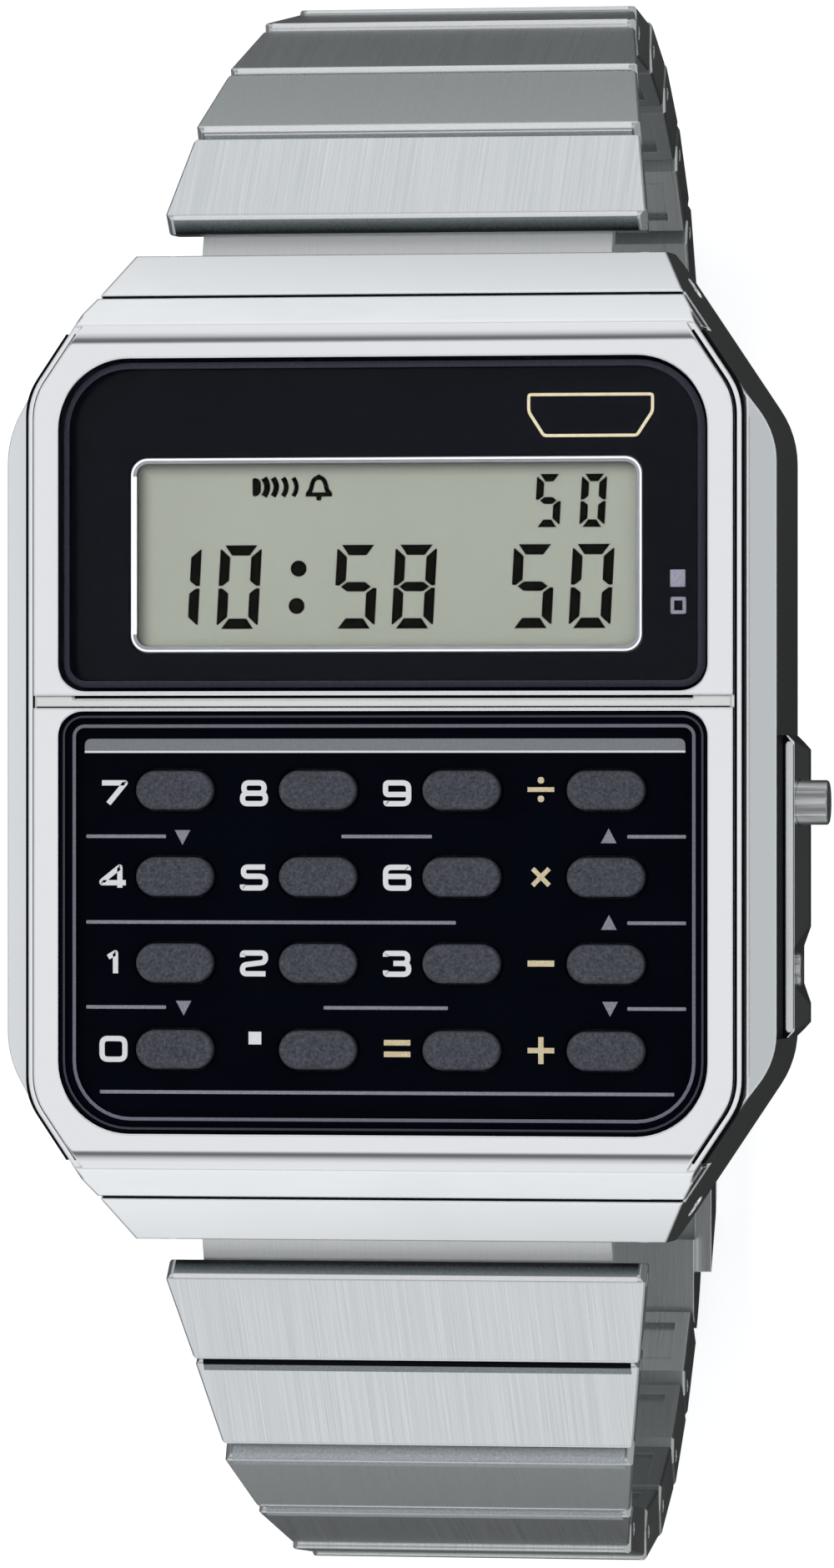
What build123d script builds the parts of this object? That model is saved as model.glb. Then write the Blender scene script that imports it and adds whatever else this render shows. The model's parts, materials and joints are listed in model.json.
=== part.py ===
from build123d import *
import os
from math import asin, atan2, cos, degrees, hypot, radians, sin

# A calculator wristwatch with its folding bracelet closed into the loop. Millimetres.
# The dial looks up along +Z, 12 o'clock is +Y and 3 o'clock, the side of the buttons, is +X.
# The watch stands on the flat outer face of its clasp.
# The origin is on that face, straight under the middle of the case.
# Depths are measured down from the polished face round the windows.

os.makedirs("parts", exist_ok=True)

# Fits
overrun = 2.0
seat_gap = 0.05
running_gap = 0.04
pin_gap = 0.01
side_gap = 0.1
parting_gap = 0.12

# Case plan: straight sides, slanted corners, straight ends
case_width = 33.8
case_length = 43.1
case_thickness = 8.2
slant_run = 5.35
slant_rise = 8.0
wall_flare = 0.3
side_corner_radius = 4.0
back_edge_chamfer = 0.35
case_half_width = case_width / 2
case_half_length = case_length / 2
case_end_width = case_width - 2 * slant_run
case_corner_y = case_half_length - slant_rise
slant_length = hypot(slant_run, slant_rise)
slant_across = slant_rise / slant_length
slant_along = slant_run / slant_length
slant_offset = slant_across * case_half_width + slant_along * case_corner_y
case_foot_half_width = case_half_width + wall_flare

# Ends of the case, which slope down to the bracelet
end_slope_run = 3.6
end_lip_depth = 5.2
crease_radius = 1.6
crease_y = case_half_length - end_slope_run
end_slope = end_lip_depth / end_slope_run

# Facets along the case's sides
facet_run = 1.12
facet_top_depth = 1.28
facet_foot_depth = 2.35
facet_top_half_width = case_half_width - facet_run
wall_taper = degrees(atan2(wall_flare, case_thickness - facet_foot_depth))

# Raised polished frame around the two windows, a step running round its edge
frame_parting = 0.08
frame_wall_run = 0.1
frame_ledge_width = 0.3
frame_ledge_depth = 0.5
frame_top_run = 0.02
frame_corner_radius = 3.2
frame_end_margin = 2.0
frame_lip_length = 1.45
frame_lip_depth = 3.0
frame_foot_half_width = facet_top_half_width - frame_parting
frame_half_width = frame_foot_half_width - frame_wall_run - frame_ledge_width
frame_foot_depth = facet_top_depth - seat_gap
frame_taper = degrees(atan2(frame_wall_run, frame_foot_depth - frame_ledge_depth))
frame_top_taper = degrees(atan2(frame_top_run, frame_ledge_depth))
frame_end_y = case_half_length - frame_end_margin
frame_lip_y = frame_end_y - frame_lip_length

# Channel across the frame between the windows, and the strip that lies in it
channel_y = 1.96
channel_width = 0.54
channel_depth = 0.42
channel_top_y = channel_y + channel_width / 2
channel_bottom_y = channel_y - channel_width / 2
strip_top_depth = 0.08
strip_end_margin = 0.1
strip_ledge_margin = 0.6
strip_ledge_width = 0.16

# Windows in the frame
window_side_margin = 1.1
display_top_margin = 1.11
display_rib = 0.18
keypad_rib = 0.14
keypad_bottom_margin = 1.19
display_top_radius = 3.1
display_bottom_radius = 1.2
keypad_top_radius = 1.1
keypad_bottom_radius = 3.15
window_half_width = frame_half_width - window_side_margin
display_top_y = crease_y - display_top_margin
display_bottom_y = channel_top_y + display_rib
keypad_top_y = channel_bottom_y - keypad_rib
keypad_bottom_y = -(crease_y - keypad_bottom_margin)

# Cavity of the case: wide under the frame, narrower round the works
upper_cavity_margin = 0.2
upper_cavity_radius = 3.3
upper_cavity_floor_depth = 1.66
cavity_ledge_width = 1.0
cavity_ledge_length = 1.8
lower_cavity_radius = 3.0
upper_cavity_half_width = window_half_width + upper_cavity_margin
upper_cavity_half_length = display_top_y + upper_cavity_margin
lower_cavity_half_width = upper_cavity_half_width - cavity_ledge_width
lower_cavity_half_length = upper_cavity_half_length - cavity_ledge_length
plate_half_width = upper_cavity_half_width - side_gap
plate_top_y = upper_cavity_half_length - side_gap

# Display window and what lies under it
glass_top_depth = 0.25
glass_bottom_depth = 1.25
glass_bevel = 0.42
dial_plate_top_depth = 1.3
dial_plate_thickness = 0.3
dial_plate_overlap = 0.31
lcd_side_margin = 3.0
lcd_top_margin = 4.305
lcd_bottom_margin = 1.715
lcd_trim_rim = 0.24
lcd_trim_radius = 0.75
lcd_trim_top_depth = 1.27
lcd_edge = 0.45
lcd_terminal_edge = 0.7
lcd_top_depth = 1.66
lcd_front_thickness = 0.65
lcd_back_thickness = 0.65
connector_end_margin = 1.1
connector_width = 1.3
connector_inset = 0.3
dial_plate_bottom_y = display_bottom_y - dial_plate_overlap
lcd_trim_width = 2 * (window_half_width - lcd_side_margin)
lcd_trim_top_y = display_top_y - lcd_top_margin
lcd_trim_bottom_y = display_bottom_y + lcd_bottom_margin
lcd_trim_height = lcd_trim_top_y - lcd_trim_bottom_y
lcd_centre_y = (lcd_trim_top_y + lcd_trim_bottom_y) / 2
lcd_width = lcd_trim_width + 2 * lcd_edge
lcd_height = lcd_trim_height + 2 * lcd_edge
lcd_back_height = lcd_height + 2 * lcd_terminal_edge
lcd_bottom_depth = lcd_top_depth + lcd_front_thickness + lcd_back_thickness
connector_length = lcd_width - 2 * connector_end_margin

# Keypad panel
panel_rim_depth = 0.12
panel_step_inset = 0.29
panel_step_depth = 0.4
panel_field_inset = 0.72
panel_field_depth = 0.8
panel_bottom_depth = 1.6
panel_flange_depth = 1.32
panel_flange_overlap = 0.45
bar_side_margin = 1.05
bar_top_margin = 1.19
bar_height = 0.61
bar_rise = 0.08
bar_corner_radius = 0.35
bar_half_width = window_half_width - bar_side_margin
bar_top_y = keypad_top_y - bar_top_margin
panel_flange_top_y = keypad_top_y + panel_flange_overlap
panel_flange_bottom_y = -plate_top_y

# Keys
key_columns = 4
key_rows = 4
column_pitch_share = 0.2215
row_pitch_share = 0.2045
key_block_shift = 0.275
first_row_margin = 3.42
key_width = 3.39
key_height = 1.69
key_top_depth = 0.42
key_bottom_depth = 1.95
key_flange_width = 0.25
key_flange_thickness = 0.28
key_top_fillet = 0.14
key_travel = 0.35
key_names = (
    ("7", "8", "9", "divide"),
    ("4", "5", "6", "multiply"),
    ("1", "2", "3", "minus"),
    ("0", "point", "equals", "plus"),
)
column_pitch = 2 * window_half_width * column_pitch_share
row_pitch = (keypad_top_y - keypad_bottom_y) * row_pitch_share
first_key_x = key_block_shift - column_pitch * (key_columns - 1) / 2
first_key_y = keypad_top_y - first_row_margin
key_centre_y = first_key_y - row_pitch * (key_rows - 1) / 2

# Rubber contact sheet under the keys
sheet_thickness = 0.5
sheet_pad_radius = 0.9
sheet_top_depth = key_bottom_depth + key_travel + seat_gap

# Circuit board
board_top_depth = 3.6
board_thickness = 0.6
board_side_margin = 0.5
board_end_margin = 0.3
board_corner_radius = 2.6
chip_size = 6.0
chip_thickness = 0.55
chip_margin = 3.9
board_half_width = lower_cavity_half_width - board_side_margin
board_half_length = lower_cavity_half_length - board_end_margin
board_bottom_depth = board_top_depth + board_thickness
chip_y = board_half_length - chip_margin

# Module frame, coin cell and the plate that holds it
module_top_depth = 4.3
module_bottom_depth = 6.7
module_margin = 0.2
module_corner_radius = 2.8
module_notch_width = 1.2
module_half_width = lower_cavity_half_width - module_margin
module_half_length = lower_cavity_half_length - module_margin
battery_side_wall = 3.2
battery_end_wall = 1.4
battery_thickness = 1.6
battery_cap_step = 0.6
battery_cap_height = 0.2
battery_shift = 1.2
battery_radius = module_half_width - battery_side_wall
battery_x = -battery_shift
battery_y = -(module_half_length - battery_radius - battery_end_wall)
battery_bottom_depth = module_bottom_depth
battery_top_depth = battery_bottom_depth - battery_thickness
plate_thickness = 0.2
plate_margin = 0.5
plate_window_margin = 4.5
finger_width = 1.6
finger_height = 2.0
plate_top_depth = module_bottom_depth + seat_gap
plate_bottom_depth = plate_top_depth + plate_thickness
plate_edge_x = module_half_width - module_notch_width
finger_x = plate_edge_x + plate_thickness / 2 + pin_gap
buzzer_margin = 3.0
buzzer_thickness = 0.22

# Lugs and spring bars
lug_width = 2.45
lug_side_gap = 0.15
lug_clearance_radius = 1.35
lug_roof_depth = 6.0
lug_toe = 0.8
spring_bar_margin = 1.55
spring_bar_depth = 6.5
spring_bar_radius = 0.65
spring_bar_tip_radius = 0.42
spring_bar_tip_length = 2.0
spring_bar_y = case_half_length - spring_bar_margin
neck_width = case_end_width - 2 * lug_width
lug_gap = neck_width + 2 * lug_side_gap

# Back
cover_thickness = 0.9
cover_end_gap = 1.7
cover_inset = 1.5
cover_corner_radius = 3.0
gasket_inset = 0.35
gasket_width = 0.5
gasket_depth = 0.6
screw_end_margin = 1.15
screw_side_margin = 1.0
screw_thread_radius = 0.45
screw_thread_length = 2.2
screw_length = 2.1
screw_head_radius = 0.85
screw_head_height = 0.5
screw_slot_width = 0.25
screw_slot_depth = 0.2
back_depth = case_thickness - cover_thickness
cover_half_length = spring_bar_y - cover_end_gap
screw_y = cover_half_length - screw_end_margin
screw_x = (slant_offset - cover_inset - screw_side_margin - slant_along * screw_y) / slant_across

# Guard round the side buttons
guard_top_y = 0.5
guard_bottom_y = -12.57
guard_reach = 0.92
guard_shelf_reach = 0.57
guard_shelf_depth = 4.0
guard_chin_depth = 6.6
guard_heel_depth = 7.4
guard_foot_depth = 7.85
guard_end_slant = 0.6
guard_notch_top_y = -8.66
guard_notch_bottom_y = -10.3
guard_notch_depth = 0.35
guard_notch_slant = 0.85
guard_edge_x = case_half_width + guard_reach

# Side buttons
button_depth = 5.15
mode_button_y = -2.4
mode_button_radius = 0.97
mode_button_reach = 1.97
mode_button_length = 1.55
mode_button_travel = 0.8
button_edge_fillet = 0.12
adjust_button_y = -9.65
adjust_button_radius = 0.72
adjust_button_reach = 0.8
adjust_button_length = 0.75
adjust_button_travel = 0.5
stem_radius = 0.5
bore_floor_margin = 0.9
clip_radius = 0.75
clip_thickness = 0.18
stem_tip_x = plate_edge_x + plate_thickness + mode_button_travel + side_gap

# Bracelet
link_pitch = 5.15
link_half_thickness = 1.1
link_front = 1.1
link_gap = 0.12
bullnose_radius = 0.28
link_chin = 0.09
link_corner_run = 0.3
link_corner_rise = 0.4
link_edge_chamfer = 0.1
link_shoulder = 1.6
band_narrowing = 5.8
tapered_links = 4
link_pin_radius = 0.35
pin_end_inset = 0.35
tongue_width = 6.0
tongue_top = 0.2
tongue_thickness = 0.8
tongue_eye_radius = 0.75
tongue_slot_radius = 0.81
tongue_slot_roof = 0.27
recess_depth = 0.3
recess_margin = 0.75
recess_back_wall = 0.7
neck_length = 3.6
neck_slope = 22.0
neck_eye_radius = 1.1
twelve_side_slopes = (43.0, 58.0, 66.0, 81.0, 95.0, 108.0, 120.0, 132.0)
six_side_slopes = (40.0, 39.0, 61.0, 70.0, 84.0, 99.0, 113.0, 126.0)
loop_depth = 46.5
opening_gap = 0.3
band_start_width = neck_width + 2 * link_shoulder
band_end_width = band_start_width - band_narrowing
tongue_middle = tongue_top - tongue_thickness / 2

# Clasp: an inner leaf, a middle leaf folded back under it and an outer cover
clasp_slope = 180.0
clasp_head_length = 3.2
leaf_thickness = 0.9
leaf_gap = 0.25
inner_leaf_margin = 1.5
middle_leaf_margin = 1.8
ear_width = 1.5
first_pin_margin = 13.0
second_pin_reach = 6.6
leaf_pin_radius = 0.33
leaf_eye_radius = 0.62
leaf_window_margin = 5.7
leaf_window_width = 4.2
cover_plate_thickness = 0.9
cover_side_margin = 0.7
cover_wall = 0.8
cover_wall_rise = 2.2
cover_end_curve = 5.0
cover_end_rise = 0.5
inner_leaf_width = band_end_width - 2 * inner_leaf_margin
middle_leaf_width = inner_leaf_width - 2 * middle_leaf_margin
cover_width = band_end_width + 2 * cover_side_margin
inner_leaf_offset = -(leaf_thickness + seat_gap)
middle_leaf_offset = inner_leaf_offset + leaf_thickness + leaf_gap
cover_plate_offset = middle_leaf_offset + leaf_thickness + leaf_gap
cover_outer_offset = cover_plate_offset + cover_plate_thickness
leaf_pin_offset = middle_leaf_offset + leaf_thickness / 2
face_height = loop_depth + cover_outer_offset


def level(depth):
    """The horizontal plane at a depth below the polished face."""
    return Plane.XY.offset(face_height - depth)


def height(depth):
    """The height above the origin of a depth below the polished face."""
    return face_height - depth


def case_plan(half_width, half_length, inset=0.0):
    """Corners of the case's plan, its slanted corners drawn in by an inset."""
    corner_y = (slant_offset - inset - slant_across * half_width) / slant_along
    end_x = (slant_offset - inset - slant_along * half_length) / slant_across
    quarter = [(half_width, corner_y), (end_x, half_length)]
    upper = quarter + [(-x, y) for x, y in reversed(quarter)]
    return upper + [(x, -y) for x, y in reversed(upper)]


def end_profile(drop=0.0, reach=case_half_length):
    """The case's outline seen from the side, down to a depth below its back."""
    foot = height(case_thickness + overrun)
    lip = height(end_slope * (reach - crease_y) + drop)
    top = height(drop)
    return [(-reach, foot), (-reach, lip), (-crease_y, top), (crease_y, top), (reach, lip), (reach, foot)]


def window_plan(top_y, bottom_y, inset=0.0):
    """Centre height and size of a window drawn in by an inset."""
    return (top_y + bottom_y) / 2, 2 * (window_half_width - inset), top_y - bottom_y - 2 * inset


def tooth_point(origin, slope, side, along, out):
    """A point beside a link: along its direction and out of its outer face."""
    run, rise = cos(radians(slope)), sin(radians(slope))
    return origin[0] + side * (along * run + out * rise), origin[1] - along * rise + out * run


def side_plane(origin, slope, side):
    """Plane of a link's side profile: x along the link, y out of its outer face."""
    run, rise = cos(radians(slope)), sin(radians(slope))
    return Plane(origin=(0, *origin), x_dir=(0, side * run, -rise), z_dir=(side, 0, 0))


def top_plane(origin, slope, side):
    """Plane of a link's plan: x along the link, its normal out of the outer face."""
    run, rise = cos(radians(slope)), sin(radians(slope))
    return Plane(origin=(0, *origin), x_dir=(0, side * run, -rise), z_dir=(0, side * rise, run))


# Case body: the cased block with sloping ends, side facets, lugs and button guard
with BuildPart() as case_body:
    with BuildSketch(level(case_thickness)) as plan:
        Polygon(*case_plan(case_foot_half_width, case_half_length + wall_flare, -wall_flare), align=None)
        sides = plan.vertices().group_by(Axis.X)
        fillet(sides[0] + sides[-1], radius=side_corner_radius + wall_flare)
    extrude(amount=case_thickness, taper=wall_taper)
    chamfer(case_body.edges().group_by(Axis.Z)[0], length=back_edge_chamfer)
    with BuildSketch(Plane.YZ):
        Polygon(*end_profile(), align=None)
    extrude(amount=case_width, both=True, mode=Mode.INTERSECT)
    with BuildSketch(Plane.XZ):
        Polygon(
            (-case_half_width - overrun, height(case_thickness + overrun)),
            (-case_half_width - overrun, height(facet_foot_depth)),
            (-case_half_width, height(facet_foot_depth)),
            (-facet_top_half_width, height(facet_top_depth)),
            (facet_top_half_width, height(facet_top_depth)),
            (case_half_width, height(facet_foot_depth)),
            (case_half_width + overrun, height(facet_foot_depth)),
            (case_half_width + overrun, height(case_thickness + overrun)),
            align=None,
        )
    extrude(amount=case_length, both=True, mode=Mode.INTERSECT)
    guard_profile = (
        (case_half_width - guard_reach, height(guard_shelf_depth)),
        (case_half_width + guard_shelf_reach, height(guard_shelf_depth)),
        (guard_edge_x, height(guard_chin_depth)),
        (guard_edge_x, height(guard_heel_depth)),
        (case_half_width + guard_shelf_reach, height(guard_foot_depth)),
        (case_half_width - guard_reach, height(guard_foot_depth)),
    )
    with BuildSketch(Plane.XZ.offset(-guard_top_y)):
        Polygon(*guard_profile, align=None)
    extrude(amount=guard_top_y - guard_bottom_y)
    with BuildSketch(level(case_thickness)):
        Polygon(
            (guard_edge_x, guard_top_y),
            (guard_edge_x + overrun, guard_top_y),
            (guard_edge_x + overrun, guard_top_y - guard_end_slant),
            (guard_edge_x, guard_top_y - guard_end_slant),
            (case_foot_half_width, guard_top_y),
            align=None,
        )
        Polygon(
            (guard_edge_x, guard_bottom_y),
            (guard_edge_x + overrun, guard_bottom_y),
            (guard_edge_x + overrun, guard_bottom_y + guard_end_slant),
            (guard_edge_x, guard_bottom_y + guard_end_slant),
            (case_foot_half_width, guard_bottom_y),
            align=None,
        )
        Polygon(
            (guard_edge_x + overrun, guard_notch_top_y + guard_notch_slant),
            (guard_edge_x, guard_notch_top_y + guard_notch_slant),
            (guard_edge_x - guard_notch_depth, guard_notch_top_y),
            (guard_edge_x - guard_notch_depth, guard_notch_bottom_y),
            (guard_edge_x, guard_notch_bottom_y - guard_notch_slant),
            (guard_edge_x + overrun, guard_notch_bottom_y - guard_notch_slant),
            align=None,
        )
    extrude(amount=case_thickness, mode=Mode.SUBTRACT)
    # Seat of the frame's end lips
    for end in (1, -1):
        seat_width = frame_end_y + parting_gap - (frame_lip_y - parting_gap)
        seat_y = end * (frame_end_y + frame_lip_y) / 2
        with BuildSketch(Plane.XY.offset(height(frame_lip_depth + seat_gap))):
            with Locations((0, seat_y)):
                Rectangle(case_width, seat_width)
        extrude(amount=frame_lip_depth + seat_gap, mode=Mode.SUBTRACT)
    # Cavity
    with BuildSketch(level(upper_cavity_floor_depth)):
        RectangleRounded(2 * upper_cavity_half_width, 2 * upper_cavity_half_length, upper_cavity_radius)
    extrude(amount=upper_cavity_floor_depth, mode=Mode.SUBTRACT)
    with BuildSketch(level(back_depth)):
        RectangleRounded(2 * lower_cavity_half_width, 2 * lower_cavity_half_length, lower_cavity_radius)
    extrude(amount=back_depth, mode=Mode.SUBTRACT)
    # Recess of the back cover, groove of its gasket and holes of its screws
    with BuildSketch(level(case_thickness + overrun)) as recess:
        Polygon(
            *case_plan(case_half_width - cover_inset, cover_half_length + side_gap, cover_inset - side_gap),
            align=None,
        )
        recess_sides = recess.vertices().group_by(Axis.X)
        fillet(recess_sides[0] + recess_sides[-1], radius=cover_corner_radius)
    extrude(amount=cover_thickness + overrun, mode=Mode.SUBTRACT)
    with BuildSketch(level(back_depth)):
        groove_inset = gasket_inset + gasket_width + seat_gap
        RectangleRounded(
            2 * (lower_cavity_half_width + groove_inset),
            2 * (lower_cavity_half_length + groove_inset),
            lower_cavity_radius + groove_inset,
        )
        groove_core = gasket_inset - seat_gap
        RectangleRounded(
            2 * (lower_cavity_half_width + groove_core),
            2 * (lower_cavity_half_length + groove_core),
            lower_cavity_radius + groove_core,
            mode=Mode.SUBTRACT,
        )
    extrude(amount=gasket_depth + seat_gap, mode=Mode.SUBTRACT)
    with BuildSketch(level(back_depth)):
        with GridLocations(2 * screw_x, 2 * screw_y, 2, 2):
            Circle(screw_thread_radius + pin_gap)
    extrude(amount=screw_thread_length, mode=Mode.SUBTRACT)
    # Space between the lugs, and the holes of the spring bars
    for end in (1, -1):
        with BuildSketch(Plane.YZ):
            with Locations((end * spring_bar_y, height(spring_bar_depth))):
                Circle(lug_clearance_radius)
            gap_inner_y = spring_bar_y - lug_clearance_radius
            Polygon(
                (end * gap_inner_y, height(spring_bar_depth)),
                (end * (case_half_length + overrun), height(spring_bar_depth)),
                (end * (case_half_length + overrun), height(case_thickness + overrun)),
                (end * gap_inner_y, height(case_thickness + overrun)),
                align=None,
            )
            Polygon(
                (end * spring_bar_y, height(lug_roof_depth)),
                (end * (case_half_length + overrun), height(lug_roof_depth)),
                (end * (case_half_length + overrun), height(spring_bar_depth)),
                (end * spring_bar_y, height(spring_bar_depth)),
                align=None,
            )
        extrude(amount=lug_gap / 2, both=True, mode=Mode.SUBTRACT)
        with BuildSketch(Plane.YZ):
            with Locations((end * spring_bar_y, height(spring_bar_depth))):
                Circle(spring_bar_tip_radius + running_gap)
        extrude(amount=case_half_width, both=True, mode=Mode.SUBTRACT)
        with BuildSketch(Plane.YZ):
            Polygon(
                (end * (case_half_length - lug_toe), height(case_thickness + overrun)),
                (end * (case_half_length - lug_toe), height(case_thickness)),
                (end * case_half_length, height(case_thickness - lug_toe)),
                (end * (case_half_length + overrun), height(case_thickness - lug_toe)),
                (end * (case_half_length + overrun), height(case_thickness + overrun)),
                align=None,
            )
        extrude(amount=case_width, both=True, mode=Mode.SUBTRACT)
    # Button bores and the stems' holes
    mode_inner_x = mode_button_reach - mode_button_length - mode_button_travel
    adjust_inner_x = adjust_button_reach - adjust_button_length - adjust_button_travel
    for bore_y, bore_radius, inner_x in (
        (mode_button_y, mode_button_radius, mode_inner_x),
        (adjust_button_y, adjust_button_radius, adjust_inner_x),
    ):
        with BuildSketch(Plane.YZ.offset(case_half_width + inner_x - bore_floor_margin)):
            with Locations((bore_y, height(button_depth))):
                Circle(bore_radius + running_gap)
        extrude(amount=case_width, mode=Mode.SUBTRACT)
        with BuildSketch(Plane.YZ):
            with Locations((bore_y, height(button_depth))):
                Circle(stem_radius + running_gap)
        extrude(amount=case_width, mode=Mode.SUBTRACT)
case_body.part.label = "case_body"
export_step(case_body.part, "parts/case_body.step")

# Face frame: the stepped polished plateau, its end lips and the two windows
with BuildPart() as face_frame:
    with BuildSketch(level(frame_foot_depth)) as foot:
        Polygon(*case_plan(frame_foot_half_width, frame_end_y, seat_gap), align=None)
        foot_sides = foot.vertices().group_by(Axis.X)
        fillet(foot_sides[0] + foot_sides[-1], radius=frame_corner_radius)
    extrude(amount=frame_foot_depth - frame_ledge_depth, taper=frame_taper)
    with BuildSketch(level(frame_ledge_depth)) as step:
        step_inset = seat_gap + frame_wall_run + frame_ledge_width
        Polygon(*case_plan(frame_half_width, frame_end_y, step_inset), align=None)
        step_sides = step.vertices().group_by(Axis.X)
        fillet(step_sides[0] + step_sides[-1], radius=frame_corner_radius - frame_ledge_width)
    extrude(amount=frame_ledge_depth, taper=frame_top_taper)
    with BuildSketch(level(frame_lip_depth)):
        Polygon(*case_plan(case_half_width, frame_end_y), align=None)
        Rectangle(case_width, 2 * frame_lip_y, mode=Mode.SUBTRACT)
    extrude(amount=frame_lip_depth - frame_foot_depth)
    with BuildSketch(Plane.YZ) as slope_profile:
        Polygon(*end_profile(reach=case_half_length), align=None)
        creases = slope_profile.vertices().group_by(Axis.Y)[-1]
        fillet(creases, radius=crease_radius)
    extrude(amount=case_width, both=True, mode=Mode.INTERSECT)
    for top_y, bottom_y, top_radius, bottom_radius in (
        (display_top_y, display_bottom_y, display_top_radius, display_bottom_radius),
        (keypad_top_y, keypad_bottom_y, keypad_top_radius, keypad_bottom_radius),
    ):
        centre_y, width, tall = window_plan(top_y, bottom_y)
        with BuildSketch(level(frame_lip_depth)) as opening:
            with Locations((0, centre_y)):
                Rectangle(width, tall)
            fillet(opening.vertices().group_by(Axis.Y)[-1], radius=top_radius)
            fillet(opening.vertices().group_by(Axis.Y)[0], radius=bottom_radius)
        extrude(amount=frame_lip_depth, mode=Mode.SUBTRACT)
    with BuildSketch(level(channel_depth)):
        with Locations((0, (channel_top_y + channel_bottom_y) / 2)):
            Rectangle(case_width, channel_top_y - channel_bottom_y)
    extrude(amount=channel_depth, mode=Mode.SUBTRACT)
face_frame.part.label = "face_frame"
export_step(face_frame.part, "parts/face_frame.step")

# Divider strip: lies in the channel, with a narrow ledge left open above its middle
with BuildPart() as divider_strip:
    strip_height = channel_top_y - channel_bottom_y - seat_gap
    with BuildSketch(level(channel_depth)):
        with Locations((0, (channel_top_y + channel_bottom_y) / 2)):
            Rectangle(2 * (frame_half_width - strip_end_margin), strip_height)
    extrude(amount=channel_depth - strip_top_depth)
    with BuildSketch(level(channel_depth)):
        with Locations((0, channel_top_y)):
            SlotOverall(2 * (window_half_width - strip_ledge_margin), 2 * strip_ledge_width)
    extrude(amount=channel_depth, mode=Mode.SUBTRACT)
divider_strip.part.label = "divider_strip"
export_step(divider_strip.part, "parts/divider_strip.step")

# Display window: bevelled glass in the upper opening
with BuildPart() as display_window:
    centre_y, width, tall = window_plan(display_top_y, display_bottom_y, seat_gap)
    with BuildSketch(level(glass_bottom_depth)) as glass:
        with Locations((0, centre_y)):
            Rectangle(width, tall)
        fillet(glass.vertices().group_by(Axis.Y)[-1], radius=display_top_radius - seat_gap)
        fillet(glass.vertices().group_by(Axis.Y)[0], radius=display_bottom_radius - seat_gap)
    extrude(amount=glass_bottom_depth - glass_top_depth)
    chamfer(display_window.edges().group_by(Axis.Z)[-1], length=glass_bevel)
display_window.part.label = "display_window"
export_step(display_window.part, "parts/display_window.step")

# Dial plate: the dark mask under the glass, open over the liquid crystal panel
with BuildPart() as dial_plate:
    with BuildSketch(level(dial_plate_top_depth + dial_plate_thickness)) as mask:
        with Locations((0, (plate_top_y + dial_plate_bottom_y) / 2)):
            Rectangle(2 * plate_half_width, plate_top_y - dial_plate_bottom_y)
        fillet(mask.vertices().group_by(Axis.Y)[-1], radius=upper_cavity_radius)
        with Locations((0, lcd_centre_y)):
            RectangleRounded(
                lcd_trim_width + 2 * seat_gap,
                lcd_trim_height + 2 * seat_gap,
                lcd_trim_radius,
                mode=Mode.SUBTRACT,
            )
    extrude(amount=dial_plate_thickness)
dial_plate.part.label = "dial_plate"
export_step(dial_plate.part, "parts/dial_plate.step")

# Trim ring round the liquid crystal panel
with BuildPart() as lcd_trim:
    with BuildSketch(level(dial_plate_top_depth + dial_plate_thickness)):
        with Locations((0, lcd_centre_y)):
            RectangleRounded(lcd_trim_width, lcd_trim_height, lcd_trim_radius)
            RectangleRounded(
                lcd_trim_width - 2 * lcd_trim_rim,
                lcd_trim_height - 2 * lcd_trim_rim,
                lcd_trim_radius - lcd_trim_rim,
                mode=Mode.SUBTRACT,
            )
    extrude(amount=dial_plate_top_depth + dial_plate_thickness - lcd_trim_top_depth)
lcd_trim.part.label = "lcd_trim"
export_step(lcd_trim.part, "parts/lcd_trim.step")

# Liquid crystal panel: a front glass on a taller back glass
with BuildPart() as lcd_panel:
    with BuildSketch(level(lcd_bottom_depth)):
        with Locations((0, lcd_centre_y)):
            Rectangle(lcd_width, lcd_back_height)
    extrude(amount=lcd_back_thickness)
    with BuildSketch(level(lcd_top_depth + lcd_front_thickness)):
        with Locations((0, lcd_centre_y)):
            Rectangle(lcd_width, lcd_height)
    extrude(amount=lcd_front_thickness)
lcd_panel.part.label = "lcd_panel"
export_step(lcd_panel.part, "parts/lcd_panel.step")

# Rubber strips that join the panel to the circuit board
with BuildPart() as lcd_connectors:
    connector_top_depth = lcd_bottom_depth + seat_gap
    connector_offset = lcd_back_height / 2 - connector_inset - connector_width / 2
    with BuildSketch(level(board_top_depth - seat_gap)):
        with Locations((0, lcd_centre_y + connector_offset), (0, lcd_centre_y - connector_offset)):
            Rectangle(connector_length, connector_width)
    extrude(amount=board_top_depth - seat_gap - connector_top_depth)
lcd_connectors.part.label = "lcd_connectors"
export_step(lcd_connectors.part, "parts/lcd_connectors.step")

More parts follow.
